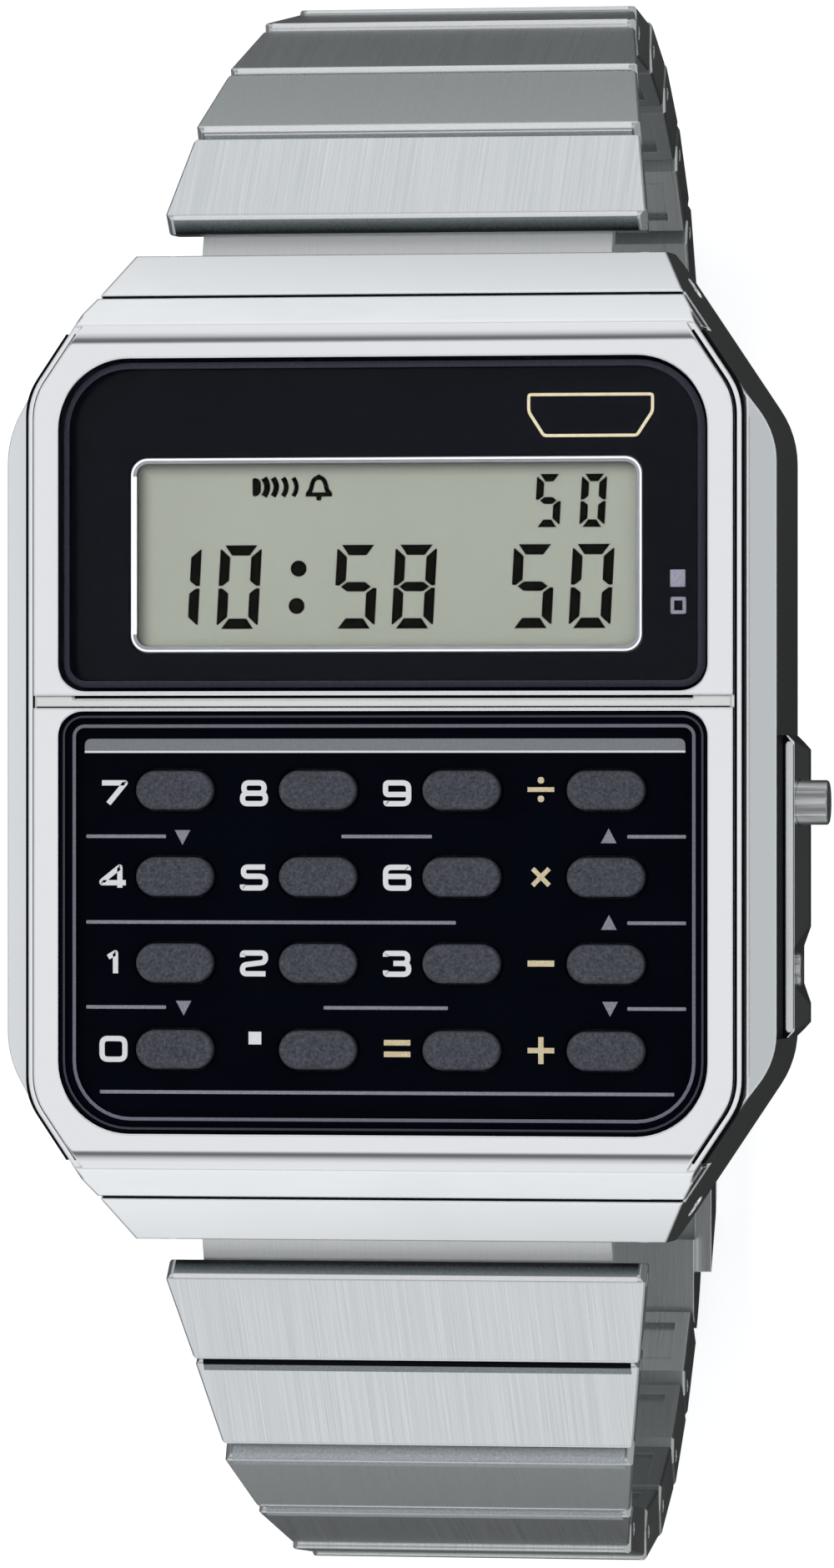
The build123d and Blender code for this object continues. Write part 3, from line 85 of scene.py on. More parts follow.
class Graph:
    """The nodes of one material, world or node group."""

    def __init__(self, tree: bpy.types.NodeTree) -> None:
        """Takes over an empty or default tree."""
        tree.nodes.clear()
        self.tree = tree

    def node(self, kind: str, sockets: dict | None = None, **settings: object) -> bpy.types.Node:
        """Adds one node, with its settings, constants and incoming links.

        Args:
            kind: The node's type name.
            sockets: Input name or number to a constant, or to the output that feeds it.
            **settings: The node's own options.

        Returns:
            The new node.
        """
        made = self.tree.nodes.new(kind)
        for option, value in settings.items():
            setattr(made, option, value)
        for key, value in (sockets or {}).items():
            self.feed(made, key, value)
        return made

    def feed(self, node: bpy.types.Node, key: str | int, value: object) -> None:
        """Sets one input of a node.

        Args:
            node: The node.
            key: The input's name or number.
            value: A constant, or the output that feeds it.
        """
        if isinstance(value, Socket):
            self.tree.links.new(value, node.inputs[key])
        else:
            node.inputs[key].default_value = value

    def math(self, operation: str, *values: object) -> Socket:
        """Adds a Math node and returns its result."""
        return self.node("ShaderNodeMath", dict(enumerate(values)), operation=operation).outputs[0]

    def mix(self, share: object, first: object, second: object, way: str = "MIX") -> Socket:
        """Mixes two colours by a share and returns the mixed colour."""
        sockets = {0: share, 6: first, 7: second}
        return self.node("ShaderNodeMix", sockets, data_type="RGBA", blend_type=way).outputs[2]

    def remap(self, value: object, given: tuple, wanted: tuple = (0.0, 1.0), way: str = "LINEAR") -> Socket:
        """Maps a value from one pair of limits to another.

        Args:
            value: The value.
            given: Where it comes from, first and last.
            wanted: Where it goes, first and last, and no further.
            way: How it runs between them.

        Returns:
            The mapped value.
        """
        limits = {"From Min": given[0], "From Max": given[1], "To Min": wanted[0], "To Max": wanted[1]}
        made = self.node("ShaderNodeMapRange", {"Value": value, **limits}, interpolation_type=way)
        return made.outputs["Result"]

    def spread(self, value: object, low: object, high: object) -> Socket:
        """Maps a value from 0..1 to low..high, held within both."""
        return self.remap(value, (0.0, 1.0), (low, high))

    def noise(self, vector: Socket, scale: object, detail: float, **more: float) -> Socket:
        """Adds a Noise Texture, with more inputs by name, and returns its factor."""
        sockets = {"Vector": vector, "Scale": scale, "Detail": detail, **more}
        return self.node("ShaderNodeTexNoise", sockets).outputs["Fac"]

    def steps(self, value: object, stops: list[tuple[float, Colour]]) -> Socket:
        """Colours a value by a ramp.

        Args:
            value: The output that runs along the ramp.
            stops: Place and colour of each stop, in order.

        Returns:
            The ramp's colour.
        """
        made = self.node("ShaderNodeValToRGB", {"Fac": value})
        ramp = made.color_ramp
        ramp.elements[0].position, ramp.elements[0].color = stops[0]
        ramp.elements[1].position, ramp.elements[1].color = stops[-1]
        for place, colour in stops[1:-1]:
            ramp.elements.new(place).color = colour
        return made.outputs["Color"]

    def place(self) -> Socket:
        """Gives the piece's own coordinates, in metres."""
        return self.node("ShaderNodeTexCoord").outputs["Object"]

    def axis(self, name: str) -> Socket:
        """Gives one of the piece's own coordinates, in metres."""
        return self.node("ShaderNodeSeparateXYZ", {0: self.place()}).outputs[name]

    def length(self, vector: Socket) -> Socket:
        """Gives the length of a vector."""
        return self.node("ShaderNodeVectorMath", {0: vector}, operation="LENGTH").outputs["Value"]

    def stretched(self, scale: Triple) -> Socket:
        """Gives the piece's coordinates, stretched by a scale per axis."""
        return self.node("ShaderNodeMapping", {"Vector": self.place(), "Scale": scale}).outputs[0]

    def use(self, group: bpy.types.NodeTree, **sockets: object) -> Sockets:
        """Places a shared effect.

        Args:
            group: The effect.
            **sockets: This material's own values for its inputs.

        Returns:
            The effect's outputs.
        """
        made = self.node("ShaderNodeGroup", node_tree=group)
        for key, value in sockets.items():
            self.feed(made, key, value)
        return made.outputs

    def bump(self, height: Socket, strength: float, distance: float, normal: Socket | None = None) -> Socket:
        """Raises a surface by a height.

        Args:
            height: The height, from 0 to 1.
            strength: How strongly it shows.
            distance: How high 1 is, in metres.
            normal: The normal it starts from, if it isn't the surface's own.

        Returns:
            The new normal.
        """
        sockets = {"Strength": strength, "Distance": distance, "Height": height}
        if normal is not None:
            sockets["Normal"] = normal
        return self.node("ShaderNodeBump", sockets).outputs[0]

    def surface(self, colour: object, rough: Socket, normal: Socket, **more: float) -> None:
        """Ends a material in one Principled BSDF.

        Args:
            colour: Its base colour.
            rough: Its roughness.
            normal: Its normal.
            **more: "metallic" or "gloss", where they aren't Blender's own.
        """
        names = {"metallic": "Metallic", "gloss": "Specular IOR Level"}
        sockets = {"Base Color": colour, "Roughness": rough, "Normal": normal}
        sockets |= {names[key]: value for key, value in more.items()}
        self.end(self.node("ShaderNodeBsdfPrincipled", sockets))

    def end(self, shader: bpy.types.Node, kind: str = "ShaderNodeOutputMaterial") -> None:
        """Ends the tree in this shader."""
        self.node(kind, {"Surface": shader.outputs[0]})


class Effects:
    """The shared surface effects, each built once as a node group."""

    def __init__(self) -> None:
        """Builds every shared effect."""
        self.brushing = self._brushing()
        self.grain = self._grain()
        self.handling = self._handling()
        self.edges = self._edges()

    @staticmethod
    def _start(name: str, inputs: dict[str, object]) -> tuple[Graph, Sockets]:
        """Starts a node group.

        Args:
            name: The group's name.
            inputs: Input name to its default; a number is a float, a triple a vector.

        Returns:
            The graph and what it is given.
        """
        tree = bpy.data.node_groups.new(name, "ShaderNodeTree")
        for label, default in inputs.items():
            kind = "NodeSocketVector" if isinstance(default, tuple) else "NodeSocketFloat"
            tree.interface.new_socket(label, in_out="INPUT", socket_type=kind).default_value = default
        graph = Graph(tree)
        return graph, graph.node("NodeGroupInput").outputs

    @staticmethod
    def _close(graph: Graph, results: dict[str, Socket]) -> bpy.types.NodeTree:
        """Ends a node group.

        Args:
            graph: The group's graph.
            results: Output name to what feeds it.

        Returns:
            The finished group.
        """
        for label, result in results.items():
            kind = "NodeSocketVector" if result.type == "VECTOR" else "NodeSocketFloat"
            graph.tree.interface.new_socket(label, in_out="OUTPUT", socket_type=kind)
        graph.node("NodeGroupOutput", results)
        return graph.tree

    def _brushing(self) -> bpy.types.NodeTree:
        """Makes fine parallel lines from two widths of stretched noise.

        Returns:
            A group with Shade and Height from 0 to 1.
        """
        graph, given = self._start("brushed lines", {"Vector": (0.0, 0.0, 0.0), "Coarse": 0.35})
        fine = graph.noise(given["Vector"], 1.0, 3.0, Roughness=0.7)
        wide = graph.noise(given["Vector"], 0.17, 2.0)
        both = graph.node("ShaderNodeMix", {0: given["Coarse"], 2: fine, 3: wide}).outputs[0]
        return self._close(graph, {"Shade": graph.remap(both, (0.3, 0.7)), "Height": both})

    def _grain(self) -> bpy.types.NodeTree:
        """Makes the pebbled skin of moulded plastic and rubber.

        Returns:
            A group with Mask and Height from 0 to 1.
        """
        graph, given = self._start("moulded grain", {"Scale": 6000.0, "Contrast": 0.5})
        spot = graph.place()
        noise = graph.noise(spot, given["Scale"], 2.0, Roughness=0.6)
        pits = graph.node("ShaderNodeTexVoronoi", {"Vector": spot, "Scale": given["Scale"]})
        both = graph.math("MULTIPLY", noise, graph.spread(pits.outputs["Distance"], 0.6, 1.4))
        half = graph.math("MULTIPLY", given["Contrast"], 0.5)
        limits = (graph.math("SUBTRACT", 0.5, half), graph.math("ADD", 0.5, half))
        return self._close(graph, {"Mask": graph.remap(both, limits), "Height": both})

    def _handling(self) -> bpy.types.NodeTree:
        """Makes faint haze and wiping marks, which only change the gloss.

        Returns:
            A group with Roughness between its limits, and the Mask behind it.
        """
        graph, given = self._start("handling haze", {"Scale": 160.0, "Low": 0.05, "High": 0.12})
        spot = graph.place()
        cloud = graph.noise(spot, given["Scale"], 4.0, Distortion=0.6)
        wiping = {"Vector": spot, "Rotation": (0.0, 0.0, 0.5), "Scale": (400.0, 4000.0, 900.0)}
        lines = graph.noise(graph.node("ShaderNodeMapping", wiping).outputs[0], 1.0, 2.0)
        both = graph.math("ADD", graph.math("MULTIPLY", cloud, 0.75), graph.math("MULTIPLY", lines, 0.25))
        mask = graph.remap(both, (0.35, 0.65))
        rough = graph.spread(mask, given["Low"], given["High"])
        return self._close(graph, {"Roughness": rough, "Mask": mask})

    def _edges(self) -> bpy.types.NodeTree:
        """Softens hard edges for the light, and finds them for wear.

        Returns:
            A group with the softened Normal and the wear Mask.
        """
        graph, given = self._start("worn edges", {"Radius": 0.00008, "Wear": 1.0})
        soft = graph.node("ShaderNodeBevel", {"Radius": given["Radius"]}, samples=6).outputs[0]
        flat = graph.node("ShaderNodeNewGeometry").outputs["Normal"]
        level = graph.node("ShaderNodeVectorMath", {0: soft, 1: flat}, operation="DOT_PRODUCT")
        worn = graph.remap(level.outputs["Value"], (0.995, 0.85))
        patch = graph.noise(graph.place(), 900.0, 3.0)
        mask = graph.math("MULTIPLY", graph.math("MULTIPLY", worn, patch), given["Wear"])
        return self._close(graph, {"Normal": soft, "Mask": mask})


EFFECTS = Effects()


def new_material(name: str) -> tuple[bpy.types.Material, Graph]:
    """Starts a node material.

    Args:
        name: The material's name.

    Returns:
        The material and its graph.
    """
    material = bpy.data.materials.new(name)
    material.use_nodes = True
    return material, Graph(material.node_tree)


@dataclass(frozen=True)
class Surface:
    """A named finish, which becomes one material."""

    name: str

    def material(self) -> bpy.types.Material:
        """Builds the finish's material the first time it is asked for.

        Returns:
            The material.
        """
        made = bpy.data.materials.get(self.name)
        if made is None:
            made, graph = new_material(self.name)
            self.paint(graph)
        return made

    def paint(self, graph: Graph) -> None:
        """Builds the finish."""
        raise NotImplementedError


@dataclass(frozen=True)
class PolishedSteel(Surface):
    """Mirror-bright plated case metal with faint haze and softened edges."""

    colour: str = "E6E8EB"
    worn: str = "F7F8FA"
    low: float = 0.045
    high: float = 0.1
    edge: float = 0.00016
    haze: float = 180.0
    relief: float = 0.015

    def paint(self, graph: Graph) -> None:
        """Builds the finish.

        Args:
            graph: The material's graph.
        """
        haze = graph.use(EFFECTS.handling, Scale=self.haze, Low=self.low, High=self.high)
        edges = graph.use(EFFECTS.edges, Radius=self.edge, Wear=1.0)
        colour = graph.mix(edges["Mask"], tint(self.colour), tint(self.worn))
        normal = graph.bump(haze["Mask"], self.relief, 0.00002, edges["Normal"])
        graph.surface(colour, haze["Roughness"], normal, metallic=1.0)


@dataclass(frozen=True)
class BrushedSteel(Surface):
    """Steel with parallel brushed lines, stretched along the axes with a small scale."""

    dark: str = "BABEBF"
    light: str = "CED2D2"
    worn: str = "EDEFF0"
    scale: Triple = (21000.0, 90.0, 90.0)
    low: float = 0.24
    high: float = 0.4
    depth: float = 0.2
    coarse: float = 0.12
    edge: float = 0.00007
    wear: float = 1.0

    def lines(self, graph: Graph) -> Socket:
        """Gives the coordinates that the lines follow."""
        return graph.stretched(self.scale)

    def paint(self, graph: Graph) -> None:
        """Builds the finish.

        Args:
            graph: The material's graph.
        """
        lines = graph.use(EFFECTS.brushing, Vector=self.lines(graph), Coarse=self.coarse)
        edges = graph.use(EFFECTS.edges, Radius=self.edge, Wear=self.wear)
        colour = graph.mix(lines["Shade"], tint(self.dark), tint(self.light))
        colour = graph.mix(edges["Mask"], colour, tint(self.worn))
        rough = graph.spread(lines["Shade"], self.high, self.low)
        normal = graph.bump(lines["Height"], self.depth, 0.00001, edges["Normal"])
        graph.surface(colour, rough, normal, metallic=1.0)


@dataclass(frozen=True)
class TurnedSteel(BrushedSteel):
    """Steel brushed in rings round an upright axis through the origin."""

    rings: float = 6000.0

    def lines(self, graph: Graph) -> Socket:
        """Gives coordinates that only grow outwards."""
        turn = graph.math("MULTIPLY", graph.length(graph.stretched((1.0, 1.0, 0.0))), self.rings)
        return graph.node("ShaderNodeCombineXYZ", {"X": turn}).outputs[0]


@dataclass(frozen=True)
class Grained(Surface):
    """A surface with a fine grain in two shades, and worn edges where it has any wear."""

    dark: str
    light: str
    worn: str = "5A5B63"
    grain: float = 12000.0
    contrast: float = 0.6
    low: float = 0.35
    high: float = 0.55
    relief: float = 0.15
    height: float = 0.000008
    gloss: float = 0.3
    edge: float = 0.00006
    wear: float = 0.0

    def shade(self, graph: Graph, mask: Socket) -> Socket:
        """Gives the colour over the grain's mask."""
        return graph.mix(mask, tint(self.dark), tint(self.light))

    def paint(self, graph: Graph) -> None:
        """Builds the finish.

        Args:
            graph: The material's graph.
        """
        grain = graph.use(EFFECTS.grain, Scale=self.grain, Contrast=self.contrast)
        colour = self.shade(graph, grain["Mask"])
        normal = None
        if self.wear:
            edges = graph.use(EFFECTS.edges, Radius=self.edge, Wear=self.wear)
            colour = graph.mix(edges["Mask"], colour, tint(self.worn))
            normal = edges["Normal"]
        rough = graph.spread(grain["Mask"], self.high, self.low)
        normal = graph.bump(grain["Height"], self.relief, self.height, normal)
        graph.surface(colour, rough, normal, gloss=self.gloss)


@dataclass(frozen=True)
class InkAndPaintedLight(Grained):
    """A thin mark with slightly uneven cover, used for printed ink and for painted highlights, reflections
    and shade.
    """


@dataclass(frozen=True)
class MouldedPlastic(Grained):
    """Plastic or rubber with a pebbled grain and paler worn edges."""

    grain: float = 7000.0
    contrast: float = 0.5
    low: float = 0.45
    high: float = 0.65
    relief: float = 0.5
    height: float = 0.00002
    gloss: float = 0.4
    wear: float = 0.8


@dataclass(frozen=True)
class DisplayCell(Grained):
    """Greenish grey reflector of the display, finely frosted, with painted shade at its left and top where
    the trim's shadow falls.
    """

    shadow: str = "6C6D62"
    left: float = -11.0
    top: float = 12.35
    reach: float = 0.75
    cloud: float = 90.0
    frost: float = 0.45

    def shade(self, graph: Graph, mask: Socket) -> Socket:
        """Gives the colour of frost and clouds, with painted shade near two edges of the display.

        Args:
            graph: The material's graph.
            mask: The frost's mask.

        Returns:
            The colour.
        """
        cloud = graph.math("MULTIPLY", graph.noise(graph.place(), self.cloud, 2.0), 1 - self.frost)
        colour = super().shade(graph, graph.math("MULTIPLY_ADD", mask, self.frost, cloud))
        # painted shade: the trim's shadow, darkest at the display's left and upper edges
        aside = graph.math("MULTIPLY_ADD", graph.axis("X"), 1 / MM, -self.left)
        below = graph.math("MULTIPLY_ADD", graph.axis("Y"), -1 / MM, self.top)
        near = graph.math("DIVIDE", graph.math("MINIMUM", aside, below), self.reach)
        depth = graph.remap(near, (0.0, 1.0), (1.0, 0.0), "SMOOTHSTEP")
        return graph.mix(depth, colour, tint(self.shadow))


@dataclass(frozen=True)
class PaintedShadeFront(Grained):
    """The rolled front of a first link, with painted shade that darkens it towards its underside."""

    middle: str = "5E6668"
    top: float = 42.3
    reach: float = 0.6
    unevenness: float = 0.25

    def shade(self, graph: Graph, mask: Socket) -> Socket:
        """Gives the colour by the height in the watch: painted light at the top, painted shade towards the
        underside.

        Args:
            graph: The material's graph.
            mask: The grain's mask.

        Returns:
            The colour.
        """
        # painted shade: darker the lower it lies on the front, lighter at the top
        below = graph.math("MULTIPLY_ADD", graph.axis("Z"), -1 / MM / self.reach, self.top / self.reach)
        share = graph.math("MULTIPLY_ADD", mask, self.unevenness, below)
        stops = ((0.0, self.light), (0.45, self.middle), (0.9, self.dark), (1.0, self.dark))
        return graph.steps(share, [(place, tint(code)) for place, code in stops])


@dataclass(frozen=True)
class GlossPanel(Surface):
    """Deep glossy coloured panel with a faint haze and specks of dust."""

    colour: str = "0C0F1C"
    speck: str = "2B2F42"
    gloss: float = 0.03
    low: float = 0.04
    high: float = 0.12
    haze: float = 240.0
    haze_share: float = 0.06
    dust: float = 2600.0
    dust_reach: float = 0.05
    dust_share: float = 0.5

    def paint(self, graph: Graph) -> None:
        """Builds the finish.

        Args:
            graph: The material's graph.
        """
        haze = graph.use(EFFECTS.handling, Scale=self.haze, Low=self.low, High=self.high)
        edges = graph.use(EFFECTS.edges, Radius=0.00012, Wear=1.0)
        dust = graph.node("ShaderNodeTexVoronoi", {"Vector": graph.place(), "Scale": self.dust})
        specks = graph.remap(dust.outputs["Distance"], (self.dust_reach, 0.0), (0.0, self.dust_share))
        film = graph.math("MULTIPLY", haze["Mask"], self.haze_share)
        colour = graph.mix(film, tint(self.colour), tint(self.speck))
        colour = graph.mix(specks, colour, tint(self.speck))
        normal = graph.bump(haze["Mask"], 0.01, 0.00002, edges["Normal"])
        graph.surface(colour, haze["Roughness"], normal, gloss=self.gloss)


@dataclass(frozen=True)
class WindowGlass(Surface):
    """Clear mineral glass that lets the light through to the display."""

    colour: str = "FBFCFF"
    shadow: str = "F4F6F8"
    gloss: float = 0.1
    ior: float = 1.1
    haze: float = 200.0
    high: float = 0.02

    def paint(self, graph: Graph) -> None:
        """Builds the finish.

        Args:
            graph: The material's graph.
        """
        haze = graph.use(EFFECTS.handling, Scale=self.haze, Low=0.0, High=self.high)
        sockets = {"Base Color": tint(self.colour), "Roughness": haze["Roughness"], "IOR": self.ior}
        sockets |= {"Transmission Weight": 1.0, "Specular IOR Level": self.gloss}
        glass = graph.node("ShaderNodeBsdfPrincipled", sockets)
        clear = graph.node("ShaderNodeBsdfTransparent", {"Color": tint(self.shadow)})
        shade = graph.node("ShaderNodeLightPath").outputs["Is Shadow Ray"]
        graph.end(graph.node("ShaderNodeMixShader", {0: shade, 1: glass.outputs[0], 2: clear.outputs[0]}))


@dataclass(frozen=True)
class LayeredLaminate(Surface):
    """Circuit laminate: solder lacquer over a woven ground with copper runs."""

    lacquer: str = "1F5A3C"
    weave: str = "2F7A52"
    copper: str = "B98A45"
    threads: float = 4200.0
    run: float = 420.0

    def paint(self, graph: Graph) -> None:
        """Builds the finish.

        Args:
            graph: The material's graph.
        """
        checks = {"Vector": graph.place(), "Scale": self.threads}
        cloth = graph.node("ShaderNodeTexChecker", checks).outputs["Fac"]
        layout = {"Vector": graph.stretched((self.run,) * 3), "Scale": 1.0, "Mortar Size": 0.03}
        runs = graph.node("ShaderNodeTexBrick", layout).outputs["Fac"]
        colour = graph.mix(graph.math("MULTIPLY", cloth, 0.35), tint(self.lacquer), tint(self.weave))
        colour = graph.mix(graph.math("MULTIPLY", runs, 0.8), colour, tint(self.copper))
        grain = graph.use(EFFECTS.grain, Scale=9000.0, Contrast=0.5)
        graph.surface(colour, graph.spread(grain["Mask"], 0.45, 0.3), graph.bump(runs, 0.3, 0.00002))


class Finish(Enum):
    """Every finish on the watch."""

    CASE = PolishedSteel("polished case")
    STRIP = PolishedSteel("divider strip", colour="DADEDC", low=0.16, high=0.28)
    TRIM = PolishedSteel("display trim", colour="7C7E80", low=0.25, high=0.4, edge=0.00006)
    BAND = BrushedSteel("brushed band")
    # painted light: the band steel made whiter on the end links, to make up for the shade of the case and
    # first link over them
    NECK_PAINTED_LIGHT = BrushedSteel("end link steel", dark="F4F8F9", light="FFFFFF", low=0.45, high=0.6)
    # painted light: the band steel made lighter on the links next to the case
    FIRST_PAINTED_LIGHT = BrushedSteel("first link steel", dark="C8CDCF", light="DDE0E2", coarse=0.06)
    # painted light: pale strips over the link fronts, covering the shade in the gaps between links
    LIP_PAINTED_LIGHT = InkAndPaintedLight("link front", light="C3C8CA", dark="9DA3A5", low=0.3, high=0.5)
    # painted shade: a darker strip over the rounded front of a link
    SHADE = InkAndPaintedLight("shaded link front", light="A2A8AA", dark="7A8184", low=0.3, high=0.5)
    # painted shade: the first links' rolled fronts, light at the top and dark towards the underside
    ROLL_PAINTED_SHADE = PaintedShadeFront(
        "rolled link front", dark="15191B", light="8E9698", grain=9000.0, contrast=0.8,
        low=0.5, high=0.3, relief=0.2, height=0.00001, gloss=0.2,
    )
    BUTTON = BrushedSteel("button steel", dark="7C7F80", light="D8DADA", scale=(110.0, 6500.0, 6500.0))
    PLATE = BrushedSteel("inner plate steel", scale=(120.0, 5200.0, 120.0), low=0.3, high=0.45)
    BACK = TurnedSteel(
        "back cover steel", dark="9A9D9E", light="D9DBDB",
        low=0.22, high=0.36, coarse=0.5, edge=0.00008, wear=0.0,
    )
    BRASS = BrushedSteel("buzzer brass", dark="A07A38", light="DDBB74", scale=(3000.0, 3000.0, 120.0))
    MASK = GlossPanel("display mask", colour="04060D", speck="191C2A", gloss=0.01)
    PANEL = GlossPanel("keypad panel", colour="04060F", speck="1A1D30", gloss=0.01)
    GLASS = WindowGlass("window glass")
    # painted shade near the display's left and upper edges
    CELL = DisplayCell(
        "display cell", dark="999C8C", light="AAAC9C", grain=15000.0, contrast=0.7,
        low=0.38, high=0.5, relief=0.12, height=0.00001, gloss=0.25,
    )
    KEY = MouldedPlastic("key plastic", dark="2F3039", light="535560", worn="70717B", grain=7500.0)
    RUBBER = MouldedPlastic("key rubber", dark="17181B", light="26272B", grain=4000.0, low=0.6, high=0.8)
    CONNECTOR = MouldedPlastic("connector rubber", dark="3B3B40", light="D9A8A0", worn="E6C6C0", grain=2500.0)
    MODULE = MouldedPlastic("module plastic", dark="22242A", light="33363E", grain=5000.0)
    BOARD = LayeredLaminate("circuit laminate")
    SEGMENT = InkAndPaintedLight("display segments", light="020200", dark="050503", low=0.5, high=0.7, gloss=0.0)
    # used for the key numbers, and as a painted highlight along the keypad bar's foot
    WHITE = InkAndPaintedLight("white print and painted highlight", light="FFFFFF", dark="F6F6FA")
    SILVER = InkAndPaintedLight("silver print", light="A3A2AE", dark="83828F")
    GOLD = InkAndPaintedLight("gold print", light="F7EBCB", dark="DEC592")
    BAR = InkAndPaintedLight("panel bar", light="8F9298", dark="80838A", low=0.3, high=0.42)
    # painted reflection along the glass's bevel
    BEVEL_REFLECTION = InkAndPaintedLight("painted window bevel reflection", light="4A4C58", dark="40424E", low=0.2, high=0.35)
    # painted reflections along the keypad panel's rim
    DIM = InkAndPaintedLight("painted panel outer edge reflection", light="3B3D4A", dark="303240", low=0.25, high=0.4)
    EDGE = InkAndPaintedLight("painted panel inner edge reflection", light="7F8290", dark="6C6F7D", low=0.25, high=0.4)
    # painted shade: dark strips in grooves, gaps and seams, where shade falls
    SEAM_SHADE = InkAndPaintedLight("painted seam shade", light="0A0C10", dark="050608", low=0.5, high=0.7, gloss=0.05)
    # painted highlight: bright lines on the trim, the facets and the link edges
    GLINT = InkAndPaintedLight("trim glint", light="FFFFFF", dark="F2F3F4", low=0.2, high=0.3)
    BEAD = PolishedSteel("guard bead", colour="C4C8CA", low=0.12, high=0.2, edge=0.00005)

    def material(self) -> bpy.types.Material:
        """Gives this finish's material."""
        return self.value.material()


def dress(node: str, finish: Finish) -> None:
    """Gives a CAD node its finish.

    Args:
        node: The node's name.
        finish: What it is finished in.
    """
    mesh = frame["nodes"][node].data
    mesh.materials.clear()
    mesh.materials.append(finish.material())
    LOG.info("dressed %s in %s", node, finish.value.name)


def place_mesh(builder: Mesh, name: str, material: bpy.types.Material) -> bpy.types.Object:
    """Turns a bmesh into an object of the scene.

    Args:
        builder: The mesh, in metres; it is freed.
        name: The name of the object and its mesh.
        material: Its material.

    Returns:
        The new object.
    """
    mesh = bpy.data.meshes.new(name)
    builder.to_mesh(mesh)
    builder.free()
    mesh.materials.append(material)
    made = bpy.data.objects.new(name, mesh)
    bpy.context.scene.collection.objects.link(made)
    return made


def box(left: float, foot: float, right: float, head: float) -> Path:
    """Gives the corners of an upright rectangle."""
    return [(left, foot), (right, foot), (right, head), (left, head)]


def across(middle: float, y: float, half: float) -> Path:
    """Gives the ends of a level line."""
    return [(middle - half, y), (middle + half, y)]


def pairs(*numbers: float) -> Path:
    """Groups numbers given one after another into points."""
    return list(zip(numbers[::2], numbers[1::2]))


def rounded(corners: Path, radius: float, closed: bool = True, steps: int = 5) -> Path:
    """Rounds the corners of a path.

    Args:
        corners: The path's sharp corners.
        radius: The rounding, held to what each corner has room for.
        closed: Whether the path closes on itself.
        steps: Points per corner, less one.

    Returns:
        The rounded path.
    """
    path: Path = []
    count = len(corners)
    for i, corner in enumerate(corners):
        if not closed and i in (0, count - 1):
            path.append(corner)
            continue
        here = Vector(corner)
        before = Vector(corners[i - 1]) - here
        after = Vector(corners[(i + 1) % count]) - here
        reach = min(radius, before.length * 0.5, after.length * 0.5)
        first = here + before.normalized() * reach
        last = here + after.normalized() * reach
        for step in range(steps + 1):
            share = step / steps
            point = first.lerp(here, share).lerp(here.lerp(last, share), share)
            if not path or (point - Vector(path[-1])).length > 1e-4:
                path.append((point.x, point.y))
    if closed and (Vector(path[0]) - Vector(path[-1])).length < 1e-4:
        path.pop()
    return path


@dataclass(frozen=True)
class Opening:
    """A window's plan: straight sides, with larger corners at one end."""

    half_width: float
    top: float
    bottom: float
    top_radius: float
    bottom_radius: float

    def outline(self, inset: float, steps: int = 10) -> list[Point]:
        """Gives the window's outline, drawn in by an inset.

        Args:
            inset: How far inside the window's edge it runs.
            steps: Points per corner, less one.

        Returns:
            The outline's points in order.
        """
        points: list[Point] = []
        half = self.half_width - inset
        upper = (self.top - inset, self.top_radius - inset, 1)
        lower = (self.bottom + inset, self.bottom_radius - inset, -1)
        for y, radius, way in (upper, lower):
            for side in (way, -way):
                x, middle = side * (half - radius), y - way * radius
                start = math.atan2(0, side) if side * way > 0 else math.atan2(way, 0)
                for step in range(steps + 1):
                    turn = start + step / steps * math.pi / 2
                    points.append((x + radius * math.cos(turn), middle + radius * math.sin(turn)))
        return points


